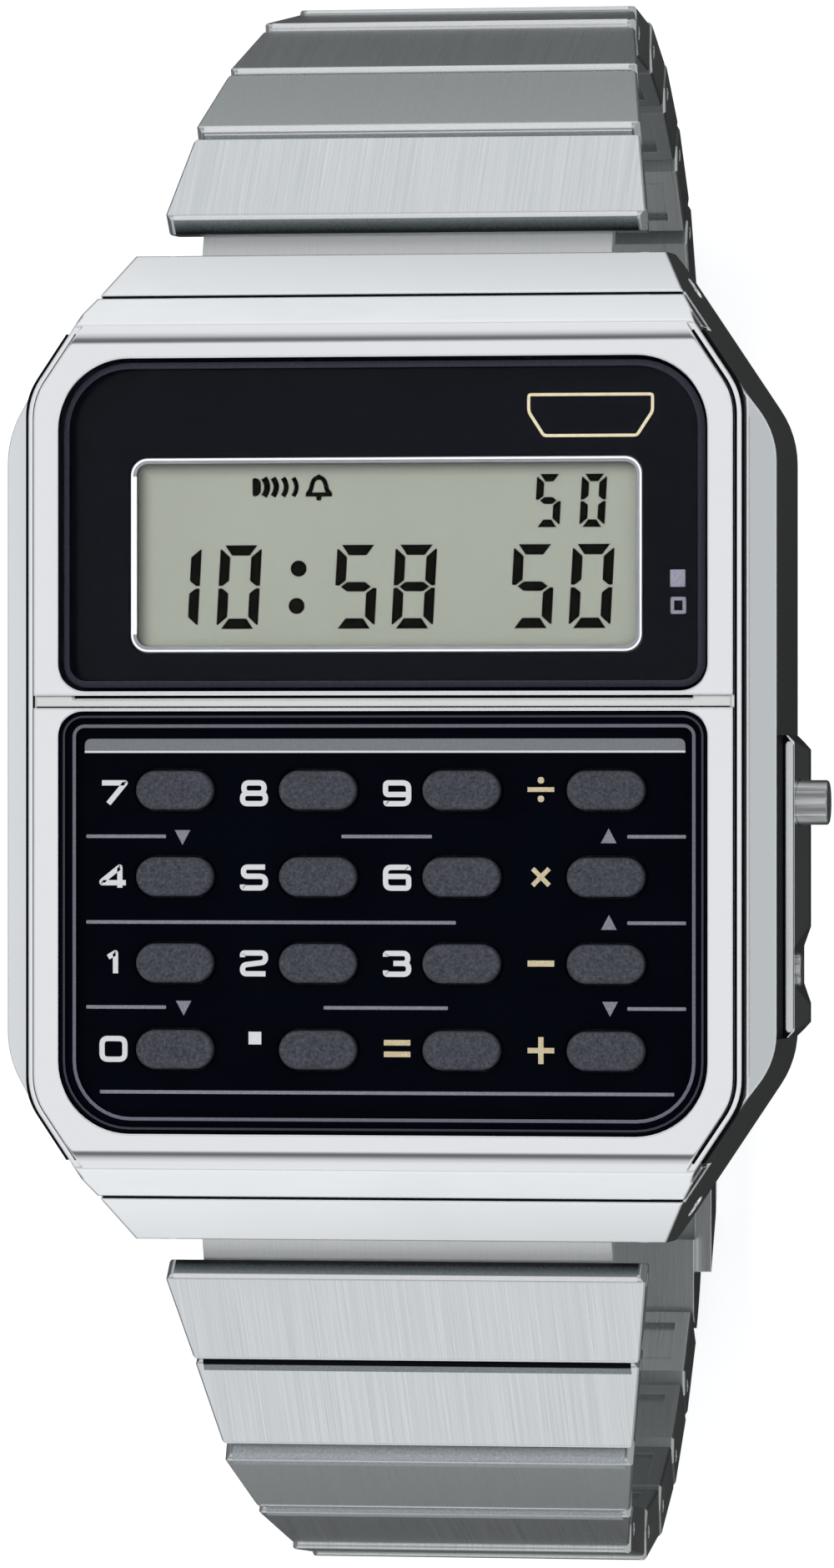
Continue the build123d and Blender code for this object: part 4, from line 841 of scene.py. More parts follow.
class Marks:
    """Thin solids between two heights, in millimetres, which together become one piece."""

    def __init__(self, low: float, high: float) -> None:
        """Starts an empty mesh for marks between these heights."""
        self.mesh = bmesh.new()
        self.span = (low, high)

    def row(self, points: list[Triple]) -> list[Vert]:
        """Adds a row of points."""
        return [self.mesh.verts.new(point) for point in points]

    def lift(self, faces: list[bmesh.types.BMFace], more: float = 0.0) -> None:
        """Raises flat faces at the lower height to the upper one, and more.

        Args:
            faces: The faces.
            more: How far past the upper height they rise.
        """
        low, high = self.span
        raised = bmesh.ops.extrude_face_region(self.mesh, geom=faces)
        top = [item for item in raised["geom"] if isinstance(item, Vert)]
        bmesh.ops.translate(self.mesh, vec=(0.0, 0.0, high + more - low), verts=top)

    def slab(self, outline: Path) -> None:
        """Adds a slab with an outline seen from above."""
        self.lift([self.mesh.faces.new(self.row([(x, y, self.span[0]) for x, y in outline]))])

    def disc(self, x: float, y: float, radius: float) -> None:
        """Adds a round slab.

        Args:
            x: Its middle.
            y: The same, upwards.
            radius: Its radius.
        """
        place = Matrix.Translation((x, y, self.span[0]))
        made = bmesh.ops.create_circle(self.mesh, cap_ends=True, segments=28, radius=radius, matrix=place)
        self.lift(list({face for vert in made["verts"] for face in vert.link_faces}))

    def stroke(self, path: Path, width: float, closed: bool = False, more: float = 0.0) -> None:
        """Adds a line of constant width that follows a path.

        Args:
            path: The line's middle, in order.
            width: The line's width.
            closed: Whether the line closes on itself.
            more: How far past the upper height it rises.
        """
        points = [Vector(p) for p in path]
        count = len(points)
        rails: list[list[Vert]] = []
        for i, point in enumerate(points):
            before = point - points[i - 1] if i or closed else points[1] - point
            after = points[(i + 1) % count] - point if i < count - 1 or closed else point - points[i - 1]
            middle = before.normalized() + after.normalized()
            side = Vector((-middle.y, middle.x)).normalized()
            reach = width / 2 / max(0.4, side.dot(Vector((-before.y, before.x)).normalized()))
            sides = (point + side * reach, point - side * reach)
            rails.append(self.row([(*spot, self.span[0]) for spot in sides]))
        if closed:
            rails.append(rails[0])
        self.lift([self.mesh.faces.new((b[0], a[0], a[1], b[1])) for a, b in zip(rails, rails[1:])], more)

    def wall(self, first: list[Vert], last: list[Vert]) -> None:
        """Joins two closed rows of as many points."""
        for i in range(len(first)):
            self.mesh.faces.new((first[i - 1], first[i], last[i], last[i - 1]))

    def bar(self, first: list[Triple], last: list[Triple]) -> None:
        """Adds a bar between two cross-sections.

        Args:
            first: The corners of one.
            last: The corners of the other, as many.
        """
        ends = [self.row(first), self.row(last)]
        self.wall(*ends)
        for cap in ends:
            self.mesh.faces.new(cap)

    def ring(self, opening: Opening, insets: Point, slope: float = 0.0) -> None:
        """Adds a thin ring that follows a window's edge.

        Args:
            opening: The window.
            insets: How far inside the edge the ring starts and ends.
            slope: How steeply it rises inwards.
        """
        low, high = self.span
        inner = slope * (insets[1] - insets[0])
        corners = ((insets[0], low), (insets[1], low + inner), (insets[1], high + inner), (insets[0], high))
        loops = [self.row([(x, y, z) for x, y in opening.outline(inset)]) for inset, z in corners]
        for i, loop in enumerate(loops):
            self.wall(loops[i - 1], loop)

    def settle(self, name: str, finish: Finish, body: str = "case") -> None:
        """Turns the marks into a piece that rides on a body.

        Args:
            name: The piece's name.
            finish: Its finish.
            body: The body it moves with.
        """
        bmesh.ops.recalc_face_normals(self.mesh, faces=self.mesh.faces)
        bmesh.ops.scale(self.mesh, vec=(MM, MM, MM), verts=self.mesh.verts)
        piece = place_mesh(self.mesh, name, finish.material())
        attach(piece, body)
        LOG.info("made %s with %d faces on %s", name, len(piece.data.polygons), body)


@dataclass
class Digits:
    """Wide, square-cornered numbers, as strokes in a unit box."""

    width: float = 1.24
    height: float = 1.13
    pen: float = 0.23
    corner: float = 0.26
    sharp: str = "147"
    sharp_corner: float = 0.03

    STROKES = {
        "0": [pairs(0, 0, 1, 0, 1, 1, 0, 1, 0, 0)],
        "1": [pairs(0.3, 0.78, 0.62, 1, 0.62, 0)],
        "2": [pairs(0, 0.8, 0, 1, 1, 1, 1, 0.56, 0, 0.42, 0, 0, 1, 0)],
        "3": [
            pairs(0, 0.84, 0, 1, 0.96, 1, 0.96, 0.52, 0.34, 0.52),
            pairs(0.34, 0.52, 1, 0.52, 1, 0, 0, 0, 0, 0.18),
        ],
        "4": [pairs(0.78, 0, 0.78, 1, 0, 0.3, 0, 0.24, 0.3, 0.24), pairs(0.2, 0.24, 1.04, 0.24)],
        "5": [pairs(0.98, 1, 0.04, 1, 0.04, 0.56, 1, 0.56, 1, 0, 0, 0, 0, 0.16)],
        "6": [pairs(0.98, 0.86, 0.98, 1, 0, 1, 0, 0, 1, 0, 1, 0.3), pairs(1, 0.26, 1, 0.56, 0.02, 0.56)],
        "7": [pairs(0, 1, 1.02, 1, 0.28, 0)],
        "8": [
            pairs(0.06, 0.5, 0.94, 0.5, 0.94, 1, 0.06, 1, 0.06, 0.5),
            pairs(0, 0, 1, 0, 1, 0.5, 0, 0.5, 0, 0),
        ],
        "9": [pairs(0.02, 0.14, 0.02, 0, 1, 0, 1, 1, 0, 1, 0, 0.7), pairs(0, 0.74, 0, 0.44, 0.98, 0.44)],
    }

    def write(self, marks: Marks, sign: str, x: float, y: float) -> None:
        """Adds one number round a centre.

        Args:
            marks: What it is added to.
            sign: The number.
            x: The middle of its box.
            y: The same, upwards.
        """
        wide, tall = self.width - self.pen, self.height - self.pen
        for i, path in enumerate(self.STROKES[sign]):
            closed = path[0] == path[-1]
            placed = [(x + (u - 0.5) * wide, y + (v - 0.5) * tall) for u, v in path]
            corner = self.sharp_corner if sign in self.sharp else self.corner
            line = rounded(placed[:-1] if closed else placed, corner, closed)
            marks.stroke(line, self.pen, closed, i * LAYER)


@dataclass
class SegmentCell:
    """One leaning seven-segment number of the display."""

    width: float = 1.82
    height: float = 3.63
    bar: float = 0.45
    gap: float = 0.075
    lean: float = 0.055
    cut: float = 0.28
    point: float = 0.46

    LIT = {"0": "abcdef", "1": "bc", "5": "afgcd", "8": "abcdefg"}

    def shapes(self) -> dict[str, list[Point]]:
        """Gives the outline of each segment, upright, from the cell's lower left corner.

        Returns:
            Segment letter to its corners in order.
        """
        w, h, t, g = self.width, self.height, self.bar, self.gap
        m, cut, point = h / 2, t * self.cut, t * self.point
        a = [(g + cut, h), (w - g - cut, h), (w - t - g, h - t), (t + g, h - t)]
        f = [(0.0, h - g - cut), (cut * 0.4, h - g * 0.6 - cut), (t, h - t - g)]
        f += [(t, m + t * 0.5 + g * 0.7), (t * 0.35, m + g * 0.6), (0.0, m + g * 0.9)]
        middle = [(t * 0.55, m), (t + g, m + point), (w - t - g, m + point)]
        middle += [(w - t * 0.55, m), (w - t - g, m - point), (t + g, m - point)]
        e = [(x, h - y) for x, y in reversed(f)]
        return {
            "a": a,
            "b": [(w - x, y) for x, y in reversed(f)],
            "c": [(w - x, y) for x, y in reversed(e)],
            "d": [(x, h - y) for x, y in reversed(a)],
            "e": e,
            "f": f,
            "g": middle,
        }

    def show(self, marks: Marks, number: str, left: float, foot: float) -> None:
        """Adds a lit number.

        Args:
            marks: What it is added to.
            number: The number to show.
            left: Its lower left corner.
            foot: The same, upwards.
        """
        for letter, outline in self.shapes().items():
            if letter in self.LIT[number]:
                marks.slab([(left + x + y * self.lean, foot + y) for x, y in outline])


@dataclass
class Display:
    """The display's lit marks, the prints on its mask, and the painted reflection on the glass's bevel and
    painted highlights on its trim.
    """

    cell_top: float = field(default_factory=lambda: top_of("lcd_panel"))
    mask_top: float = field(default_factory=lambda: top_of("dial_plate"))
    glass_top: float = field(default_factory=lambda: top_of("display_window"))
    thickness: float = 0.02
    opening: Opening = Opening(half_width=14.2, top=16.84, bottom=2.41, top_radius=3.1, bottom_radius=1.2)
    bevel: Point = (0.17, 0.45)
    bevel_edge: float = 0.47
    bevel_lift: float = 0.004
    bevel_thickness: float = 0.006
    trim: Opening = Opening(half_width=11.2, top=12.535, bottom=4.125, top_radius=0.75, bottom_radius=0.75)
    glint: Point = (0.01, 0.1)
    side_glint: Triple = (-11.02, 4.9, 11.75)
    side_glint_width: float = 0.16
    large: SegmentCell = field(default_factory=SegmentCell)
    small: SegmentCell = field(default_factory=lambda: SegmentCell(1.1, 2.3, bar=0.33, gap=0.045))
    clock: tuple = (("1", -10.15), ("0", -7.5), ("5", -2.36), ("8", 0.2), ("5", 5.38), ("0", 7.95))
    clock_low: float = 5.13
    date: tuple = (("5", 6.46), ("0", 8.42))
    date_low: float = 9.49
    colon: Points = ((-3.87, 7.74), (-3.96, 6.12))
    colon_radius: float = 0.35
    sounder: Run = (-5.9, 10.88, -5.7, 10.88, -5.53, 11.06, -5.53, 11.5, -5.7, 11.68, -5.9, 11.68)
    arc: Run = (-0.13, 10.88, -0.02, 11.06, 0.03, 11.28, -0.02, 11.5, -0.13, 11.68)
    arc_places: Run = (-5.27, -4.87, -4.43, -3.98)
    arc_width: float = 0.27
    arc_narrowing: float = 0.025
    arc_corner: float = 0.15
    sign_corner: float = 0.1
    bell_middle: float = -2.98
    bell: Run = (-0.48, 10.98, -0.34, 11.16, -0.3, 11.42, -0.2, 11.62)
    bell_top: float = 11.7
    bell_pen: float = 0.2
    brim: Run = (-3.56, 10.95, -2.4, 10.95)
    brim_pen: float = 0.18
    clapper: Run = (-3.1, 10.68, -2.86, 10.9)
    knob: Run = (-3.05, 11.7, -2.91, 11.82)
    knob_corner: float = 0.05
    badge: Run = (6.27, 15.2, 11.66, 15.2, 11.66, 14.46, 10.98, 13.43, 6.93, 13.43, 6.27, 14.46)
    badge_corner: float = 0.12
    badge_pen: float = 0.13
    full_square: Run = (12.43, 6.89, 13.08, 7.63)
    hollow_square: Run = (12.52, 5.8, 13.04, 6.38)
    hollow_pen: float = 0.15
    hollow_corner: float = 0.03

    def build(self) -> None:
        """Makes every mark of the display."""
        self._numbers()
        self._signs()
        self._mask_prints()
        self._glints()

    def _numbers(self) -> None:
        """Makes the time and the date."""
        marks = Marks(self.cell_top, self.cell_top + self.thickness)
        for number, x in self.clock:
            self.large.show(marks, number, x, self.clock_low)
        for number, x in self.date:
            self.small.show(marks, number, x, self.date_low)
        for x, y in self.colon:
            marks.disc(x, y, self.colon_radius)
        marks.settle("display_numbers", Finish.SEGMENT)

    def _signs(self) -> None:
        """Makes the ringing arcs and the bell."""
        marks = Marks(self.cell_top, self.cell_top + self.thickness)
        marks.slab(rounded(pairs(*self.sounder), self.sign_corner))
        for i, place in enumerate(self.arc_places):
            arc = rounded([(place + x, y) for x, y in pairs(*self.arc)], self.arc_corner, False)
            marks.stroke(arc, self.arc_width - self.arc_narrowing * i)
        half = pairs(*self.bell)
        dome = [(self.bell_middle + x, y) for x, y in half] + [(self.bell_middle, self.bell_top)]
        dome += [(self.bell_middle - x, y) for x, y in reversed(half)]
        marks.stroke(rounded(dome, self.sign_corner, False), self.bell_pen)
        marks.stroke(pairs(*self.brim), self.brim_pen, more=LAYER)
        marks.slab(rounded(box(*self.clapper), self.sign_corner))
        marks.slab(rounded(box(*self.knob), self.knob_corner))
        marks.settle("display_signs", Finish.SEGMENT)

    def _mask_prints(self) -> None:
        """Makes the bare six-sided badge outline, and the two squares beside the buttons."""
        marks = Marks(self.mask_top, self.mask_top + self.thickness)
        marks.stroke(rounded(pairs(*self.badge), self.badge_corner), self.badge_pen, True)
        marks.settle("badge_outline", Finish.GOLD)
        marks = Marks(self.mask_top, self.mask_top + self.thickness)
        marks.slab(box(*self.full_square))
        marks.stroke(rounded(box(*self.hollow_square), self.hollow_corner), self.hollow_pen, True)
        marks.settle("button_marks", Finish.SILVER)

    def _glints(self) -> None:
        """Makes the painted reflection along the glass's bevel, a grey line, and the painted highlight on the
        display's trim, a bright line.
        """
        # painted reflection: a grey line along the glass's bevel
        low = self.glass_top + self.bevel_lift - (self.bevel_edge - self.bevel[0])
        marks = Marks(low, low + self.bevel_thickness)
        marks.ring(self.opening, self.bevel, 1.0)
        marks.settle("window_bevel_reflection", Finish.BEVEL_REFLECTION)
        # painted highlight: a bright line round the display's trim, wider on its left side
        low = top_of("lcd_trim")
        marks = Marks(low, low + self.thickness / 2)
        marks.ring(self.trim, self.glint)
        x, foot, head = self.side_glint
        marks.stroke([(x, foot), (x, head)], self.side_glint_width)
        marks.settle("trim_glint", Finish.GLINT)


@dataclass
class KeypadPrintAndPaintedLight:
    """The numbers, signs, lines, small triangles and bar printed on the keypad, and the painted reflections
    along its rim and painted highlight along the bar's foot.
    """

    rim_top: float = field(default_factory=lambda: top_of("keypad_panel"))
    step_drop: float = 0.28
    field_drop: float = 0.68
    bar_drop: float = 0.6
    thickness: float = 0.02
    opening: Opening = Opening(half_width=14.2, top=1.55, bottom=-16.76, top_radius=1.1, bottom_radius=3.15)
    outer_edge: Point = (0.19, 0.285)
    inner_edge: Point = (0.57, 0.715)
    bar_half_width: float = 13.15
    bar_span: Point = (-0.25, 0.36)
    bar_corner: float = 0.35
    bar_light: float = 0.09
    digits: Digits = field(default_factory=Digits)
    numbers: tuple[tuple[str, float, float], ...] = (
        ("7", -11.9, -2.0), ("8", -5.7, -2.0), ("9", 0.58, -2.0),
        ("4", -11.9, -5.65), ("5", -5.7, -5.65), ("6", 0.58, -5.65),
        ("1", -11.93, -9.37), ("2", -5.7, -9.37), ("3", 0.58, -9.37),
        ("0", -11.9, -13.1),
    )
    decimal_point: Run = (-5.94, -12.88, -5.38, -12.33)
    line_width: float = 0.15
    line_corner: float = 0.04
    lines: tuple[Triple, ...] = (
        (-13.1, -9.58, -3.87), (-1.86, 2.1, -3.87), (10.62, 13.17, -3.87),
        (-13.1, 3.15, -7.59), (10.62, 13.17, -7.59),
        (-13.1, -9.58, -11.28), (-2.64, 2.8, -11.28), (10.62, 13.17, -11.28),
        (-12.5, 12.66, -14.96),
    )
    triangles: tuple[tuple[float, float, int], ...] = (
        (-8.85, -3.9, -1), (9.81, -3.85, 1), (9.82, -7.58, 1), (-8.8, -11.3, -1), (9.87, -11.28, -1),
    )
    triangle_half: float = 0.34
    triangle_foot: float = 0.3
    sign_x: float = 6.86
    sign_half: float = 0.58
    divide_y: float = -1.84
    divide_pen: float = 0.2
    divide_dot: float = 0.14
    divide_gap: float = 0.4
    times_y: float = -5.61
    times_half: float = 0.36
    minus_y: float = -9.34
    minus_pen: float = 0.26
    equals: Point = (0.58, -13.03)
    equals_gap: float = 0.25
    equals_pen: float = 0.24
    plus_y: float = -13.09
    plus_pen: float = 0.23

    def build(self) -> None:
        """Makes every print of the keypad, and its painted reflections and highlight."""
        self._rims()
        self._bar()
        low = self.rim_top - self.field_drop
        marks = Marks(low, low + self.thickness)
        for sign, x, y in self.numbers:
            self.digits.write(marks, sign, x, y)
        marks.slab(box(*self.decimal_point))
        marks.settle("key_numbers", Finish.WHITE)
        marks = Marks(low, low + self.thickness)
        half = self.line_width / 2
        for first, last, y in self.lines:
            marks.slab(rounded(box(first, y - half, last, y + half), self.line_corner, True, 2))
        half, foot = self.triangle_half, self.triangle_foot
        for x, y, way in self.triangles:
            marks.slab([*across(x, y - foot * way, half), (x, y + half * way)][::way])
        marks.settle("keypad_lines", Finish.SILVER)
        self._signs(Marks(low, low + self.thickness))

    def _rims(self) -> None:
        """Makes the two painted reflections, grey lines along the panel's stepped rim."""
        # painted reflections: grey lines where the panel's rounded rim catches the light
        for name, finish, insets, drop in (
            ("panel_outer_edge_reflection", Finish.DIM, self.outer_edge, 0.0),
            ("panel_inner_edge_reflection", Finish.EDGE, self.inner_edge, self.step_drop),
        ):
            low = self.rim_top - drop
            marks = Marks(low, low + self.thickness / 2)
            marks.ring(self.opening, insets)
            marks.settle(name, finish)

    def _bar(self) -> None:
        """Makes the pale printed face of the raised bar, and a painted highlight, a lighter line along its
        foot.
        """
        low = self.rim_top - self.bar_drop
        half, (foot, head) = self.bar_half_width, self.bar_span
        arch = rounded([(-half, foot), (-half, head), (half, head), (half, foot)], self.bar_corner, False)
        marks = Marks(low, low + self.thickness)
        marks.slab(arch[::-1])
        marks.settle("keypad_bar", Finish.BAR)
        # painted highlight: a lighter line along the foot of the raised bar
        marks = Marks(low, low + self.thickness)
        marks.stroke(across(0.0, foot + self.bar_light / 2, half), self.bar_light, more=0.004)
        marks.settle("keypad_bar_foot_highlight", Finish.WHITE)

    def _signs(self, marks: Marks) -> None:
        """Makes the four signs and the equals sign.

        Args:
            marks: What they are added to.
        """
        x, half, dot, tip = self.sign_x, self.sign_half, self.divide_dot, self.times_half
        marks.stroke(across(x, self.divide_y, half), self.divide_pen)
        for side in (-1, 1):
            y = self.divide_y + side * self.divide_gap
            marks.slab(rounded(box(x - dot, y - dot, x + dot, y + dot), dot))
        for side in (-1, 1):
            ends = [(x - tip, self.times_y - side * tip), (x + tip, self.times_y + side * tip)]
            marks.stroke(ends, self.divide_pen, more=LAYER * side)
        marks.stroke(across(x, self.minus_y, half), self.minus_pen)
        for side in (-1, 1):
            y = self.equals[1] + side * self.equals_gap
            marks.stroke(across(self.equals[0], y, half), self.equals_pen)
        y = self.plus_y
        marks.stroke(across(x, y, half), self.plus_pen)
        marks.stroke([(x, y - half), (x, y + half)], self.plus_pen, more=0.002)
        marks.settle("key_signs", Finish.GOLD)


@dataclass
class Case:
    """The case, its windows and everything inside it."""

    finishes: dict[Finish, str] = field(
        default_factory=lambda: {
            Finish.CASE: "case_body face_frame",
            Finish.STRIP: "divider_strip",
            Finish.GLASS: "display_window",
            Finish.MASK: "dial_plate",
            Finish.TRIM: "lcd_trim",
            Finish.CELL: "lcd_panel",
            Finish.PANEL: "keypad_panel",
            Finish.RUBBER: "key_sheet back_gasket",
            Finish.MODULE: "module_frame",
            Finish.BOARD: "circuit_board",
            Finish.CONNECTOR: "lcd_connectors",
            Finish.PLATE: "battery module_plate back_screws spring_bars",
            Finish.BRASS: "buzzer",
            Finish.BACK: "back_cover",
            Finish.BUTTON: "mode_button adjust_button",
        }
    )
    channel: Point = (1.72, 2.16)
    channel_drop: float = 0.42
    channel_rise: float = 0.2
    ledge_half: float = 13.5
    ledge_width: float = 0.12
    strip_half: float = 15.15
    strip_width: float = 0.05
    strip_drops: Point = (0.08, 0.06)
    step_drop: float = 0.5
    step_rise: float = 0.012
    step_side: Points = ((13.47, 17.9), (15.33, 15.14), (15.33, -15.14), (13.47, -17.9))
    step_rounding: float = 0.88
    step_width: float = 0.17
    facet_glint: Point = (15.84, 14.2)
    glint_width: float = 0.08
    glint_drop: float = 1.31
    glint_rise: float = 0.09
    wall_side: Points = ((13.885, 17.9), (15.665, 15.24), (15.665, -15.24), (13.885, -17.9))
    wall_width: float = 0.13
    wall_drop: float = 0.57
    parting_drop: float = 1.28
    end_y: float = 19.61
    end_half: float = 12.72
    end_width: float = 0.1
    end_drop: float = 2.55
    end_depth: float = 0.3
    guard_span: Point = (0.3, -12.4)
    guard_ledge: Point = (17.06, 17.44)
    guard_far: Point = (17.12, 17.46)
    guard_end: float = 0.22
    guard_drop: float = 4.0
    facet_drop: float = 2.42
    wall: Point = (16.905, 16.985)
    wall_shade: float = 0.02
    shade_rises: Point = (0.002, 0.01)
    bead_rise: float = 0.06
    bead_inset: float = 0.05
    bead_rounding: float = 0.045

    def build(self) -> None:
        """Dresses the case's nodes and every key, and makes the painted shade and painted highlights along
        the lines between them.
        """
        for finish, nodes in self.finishes.items():
            for node in nodes.split():
                dress(node, finish)
        for node in frame["nodes"]:
            if node.startswith("key_") and node != "key_sheet":
                dress(node, Finish.KEY)
        face = top_of("face_frame")
        self._channel_lines(face)
        self._frame_seams(face)
        self._guard(face)

    def _channel_lines(self, face: float) -> None:
        """Makes the painted shade lines above and below the divider strip.

        Args:
            face: Height of the polished face.
        """
        foot, head = self.channel
        floor = face - self.channel_drop
        # painted shade: dark strips along the channel's upper slot and its lower edge, where shade falls
        marks = Marks(floor, floor + self.channel_rise)
        marks.stroke(across(0.0, head, self.ledge_half), self.ledge_width)
        low, high = self.strip_drops
        marks.span = (face - low, face - high)
        marks.stroke(across(0.0, foot, self.strip_half), self.strip_width)
        marks.settle("channel_shade_lines", Finish.SEAM_SHADE)

    def _frame_seams(self, face: float) -> None:
        """Makes the painted shade in the grooves round the frame's foot and at its ends, and the painted
        highlights along the facets.

        Args:
            face: Height of the polished face.
        """
        ledge, end, top = face - self.step_drop, face - self.end_drop, face - self.glint_drop
        # painted shade: dark strips in the grooves round the frame's foot and at its ends
        marks = Marks(ledge, ledge + self.step_rise)
        for side in (1, -1):
            for corners, width, span in (
                (self.step_side, self.step_width, (ledge, ledge + self.step_rise)),
                (self.wall_side, self.wall_width, (face - self.parting_drop, face - self.wall_drop)),
            ):
                marks.span = span
                path = [(side * x, y) for x, y in corners]
                marks.stroke(rounded(path, self.step_rounding, False, 10), width)
            marks.span = (end - self.end_depth, end)
            marks.stroke(across(0.0, side * self.end_y, self.end_half), self.end_width)
        marks.settle("frame_seam_shade", Finish.SEAM_SHADE)
        # painted highlight: bright lines along the facets' inner edges
        marks = Marks(top - self.glint_rise, top)
        reach, half = self.facet_glint
        for x in (reach, -reach):
            marks.stroke([(x, half), (x, -half)], self.glint_width)
        marks.settle("facet_glints", Finish.GLINT)

    def _guard(self, face: float) -> None:
        """Makes the painted shade above the button guard's ledge, and the polished bead on the ledge.

        Args:
            face: Height of the polished face.
        """
        (head, foot), (upper, lower), bend = self.guard_span, self.wall, self.guard_end
        ledge, top = face - self.guard_drop, face - self.facet_drop
        shade = self.wall_shade
        corners = [(upper, top), (upper + shade, top), (lower + shade, ledge), (lower, ledge)]
        low, high = self.shade_rises
        # painted shade: a dark sheet over the wall and ledge above the button guard
        marks = Marks(ledge + low, ledge + high)
        marks.bar(*([(x, y, z) for x, z in corners] for y in (head + bend, foot - bend)))
        near, far = self.guard_far
        rim = [(far, head - bend), (near, head + bend), (lower, head + bend)]
        marks.slab([(x, foot + head - y) for x, y in reversed(rim)] + rim)
        marks.settle("guard_shade", Finish.SEAM_SHADE)
        (near, far), inset, top = self.guard_ledge, self.bead_inset, ledge + self.bead_rise
        marks = Marks(ledge + high, top)
        marks.slab(rounded(box(near, foot + inset, far, head - inset), (far - near) / 2, True, 8))
        bmesh.ops.recalc_face_normals(marks.mesh, faces=marks.mesh.faces)
        rim = [edge for edge in marks.mesh.edges if all(abs(vert.co.z - top) < 1e-5 for vert in edge.verts)]
        rolled = {"offset": self.bead_rounding, "segments": 3, "profile": 0.5, "material": -1}
        bmesh.ops.bevel(marks.mesh, geom=rim, affect="EDGES", **rolled)
        marks.settle("guard_bead", Finish.BEAD)


@dataclass
class Bracelet:
    """The links, end links and the folding clasp."""

    starts: tuple[str, ...] = ("link_", "clasp_")
    first: tuple[str, ...] = ("link_12_1", "link_6_1", "link_6_2")
    lift: float = 0.001
    thickness: float = 0.012
    end_inset: float = 0.36
    back_inset: float = 0.16
    # Profiles of painted light and shade over the front links: highlights along top and rear edges, pale
    # fronts, light-to-dark rolled fronts on the first links, a darker nose and a dark seam on link_6_2, pale
    # noses on link_6_3 and link_6_4.
    edge: Points = ((-1.1, 0.76), (-1.07, 0.93), (-1.0, 1.04), (-0.9, 1.09))
    roll_glint: Points = ((-1.06, 0.95), (-1.0, 1.04), (-0.93, 1.08))
    lip: Points = ((-1.1, 0.42), (-1.1, 0.75))
    roll: Points = ((-1.1, 0.1), (-1.1, 0.82), (-1.07, 0.93))
    painted_nose: Points = ((-1.1, 0.4), (-1.1, 0.82), (-1.07, 0.93), (-1.0, 1.04), (-0.82, 1.1), (-0.5, 1.1))
    seam: Points = ((-1.09, 0.94), (-1.02, 1.065), (-0.86, 1.12))
    back_glint: Points = ((3.83, 1.1), (3.925, 1.1))

    def build(self) -> None:
        """Dresses every link and leaf, with the band steel painted lighter on the end and first links, and
        lays painted highlights and shade where the front links meet.
        """
        for node in frame["nodes"]:
            # the end links and the first links get the band steel painted lighter
            if node.startswith("end_link"):
                dress(node, Finish.NECK_PAINTED_LIGHT)
            elif node in self.first:
                dress(node, Finish.FIRST_PAINTED_LIGHT)
            elif node.startswith(self.starts):
                dress(node, Finish.BAND)
        # ribbons of painted light and shade over the front links' faces and edges
        for hour in ("12", "6"):
            self._ribbon(f"link_{hour}_1", "roll", self.roll, Finish.ROLL_PAINTED_SHADE)
            self._ribbon(f"link_{hour}_1", "edge", self.roll_glint, Finish.GLINT)
        for number in range(2, 6):
            self._ribbon(f"link_12_{number}", "lip", self.lip, Finish.LIP_PAINTED_LIGHT)
            self._ribbon(f"link_12_{number}", "edge", self.edge, Finish.GLINT)
        for number, finish in ((2, Finish.SHADE), (3, Finish.LIP_PAINTED_LIGHT), (4, Finish.LIP_PAINTED_LIGHT)):
            link = f"link_6_{number}"
            self._ribbon(link, "painted_nose", self.painted_nose, finish)
            if number == 2:
                self._ribbon(link, "seam", self.seam, Finish.SEAM_SHADE)
            self._ribbon(f"link_6_{number - 1}", "back_glint", self.back_glint, Finish.GLINT, link)

    def _spine(self, link: str) -> tuple[Vector, Vector, Vector]:
        """Finds where a link starts and which way it runs.

        Args:
            link: The link's name.

        Returns:
            Its pivot, the way it runs and the way outwards.
        """
        pivots = {joint["child"]: joint.get("pos_m") for joint in frame["joints"]}
        hour, number = link.split("_")[1:]
        start = Vector(pivots[link]) / MM
        along = (Vector(pivots[f"link_{hour}_{int(number) + 1}"]) / MM - start).normalized()
        return start, along, Vector((0.0, -along.z, along.y)) * (1 if hour == "12" else -1)

    def _ribbon(self, link: str, name: str, profile: Points, finish: Finish, as_wide: str = "") -> None:
        """Lays a thin ribbon across a link, along a profile seen from its side.

        Args:
            link: The link that it rides on.
            name: The ribbon's own name.
            profile: Places along the link and outwards, from its pivot.
            finish: The ribbon's finish.
            as_wide: The link whose front is as wide, if it isn't this one's.
        """
        start, along, outward = self._spine(link)
        half = max(corner[0] for corner in frame["nodes"][as_wide or link].bound_box) / MM
        half -= self.back_inset if as_wide else self.end_inset
        rows: list[list[Vector]] = [[], []]
        for i, point in enumerate(profile):
            before, after = profile[max(i - 1, 0)], profile[min(i + 1, len(profile) - 1)]
            lean = (Vector(after) - Vector(before)).normalized()
            for row, height in zip(rows, (self.lift, self.thickness)):
                run, rise = point[0] - lean.y * height, point[1] + lean.x * height
                row.append(start + along * run + outward * rise)
        marks = Marks(self.lift, self.thickness)
        marks.bar(*([(x, spot.y, spot.z) for spot in rows[0] + rows[1][::-1]] for x in (-half, half)))
        marks.settle(f"{link}_{name}", finish, link)


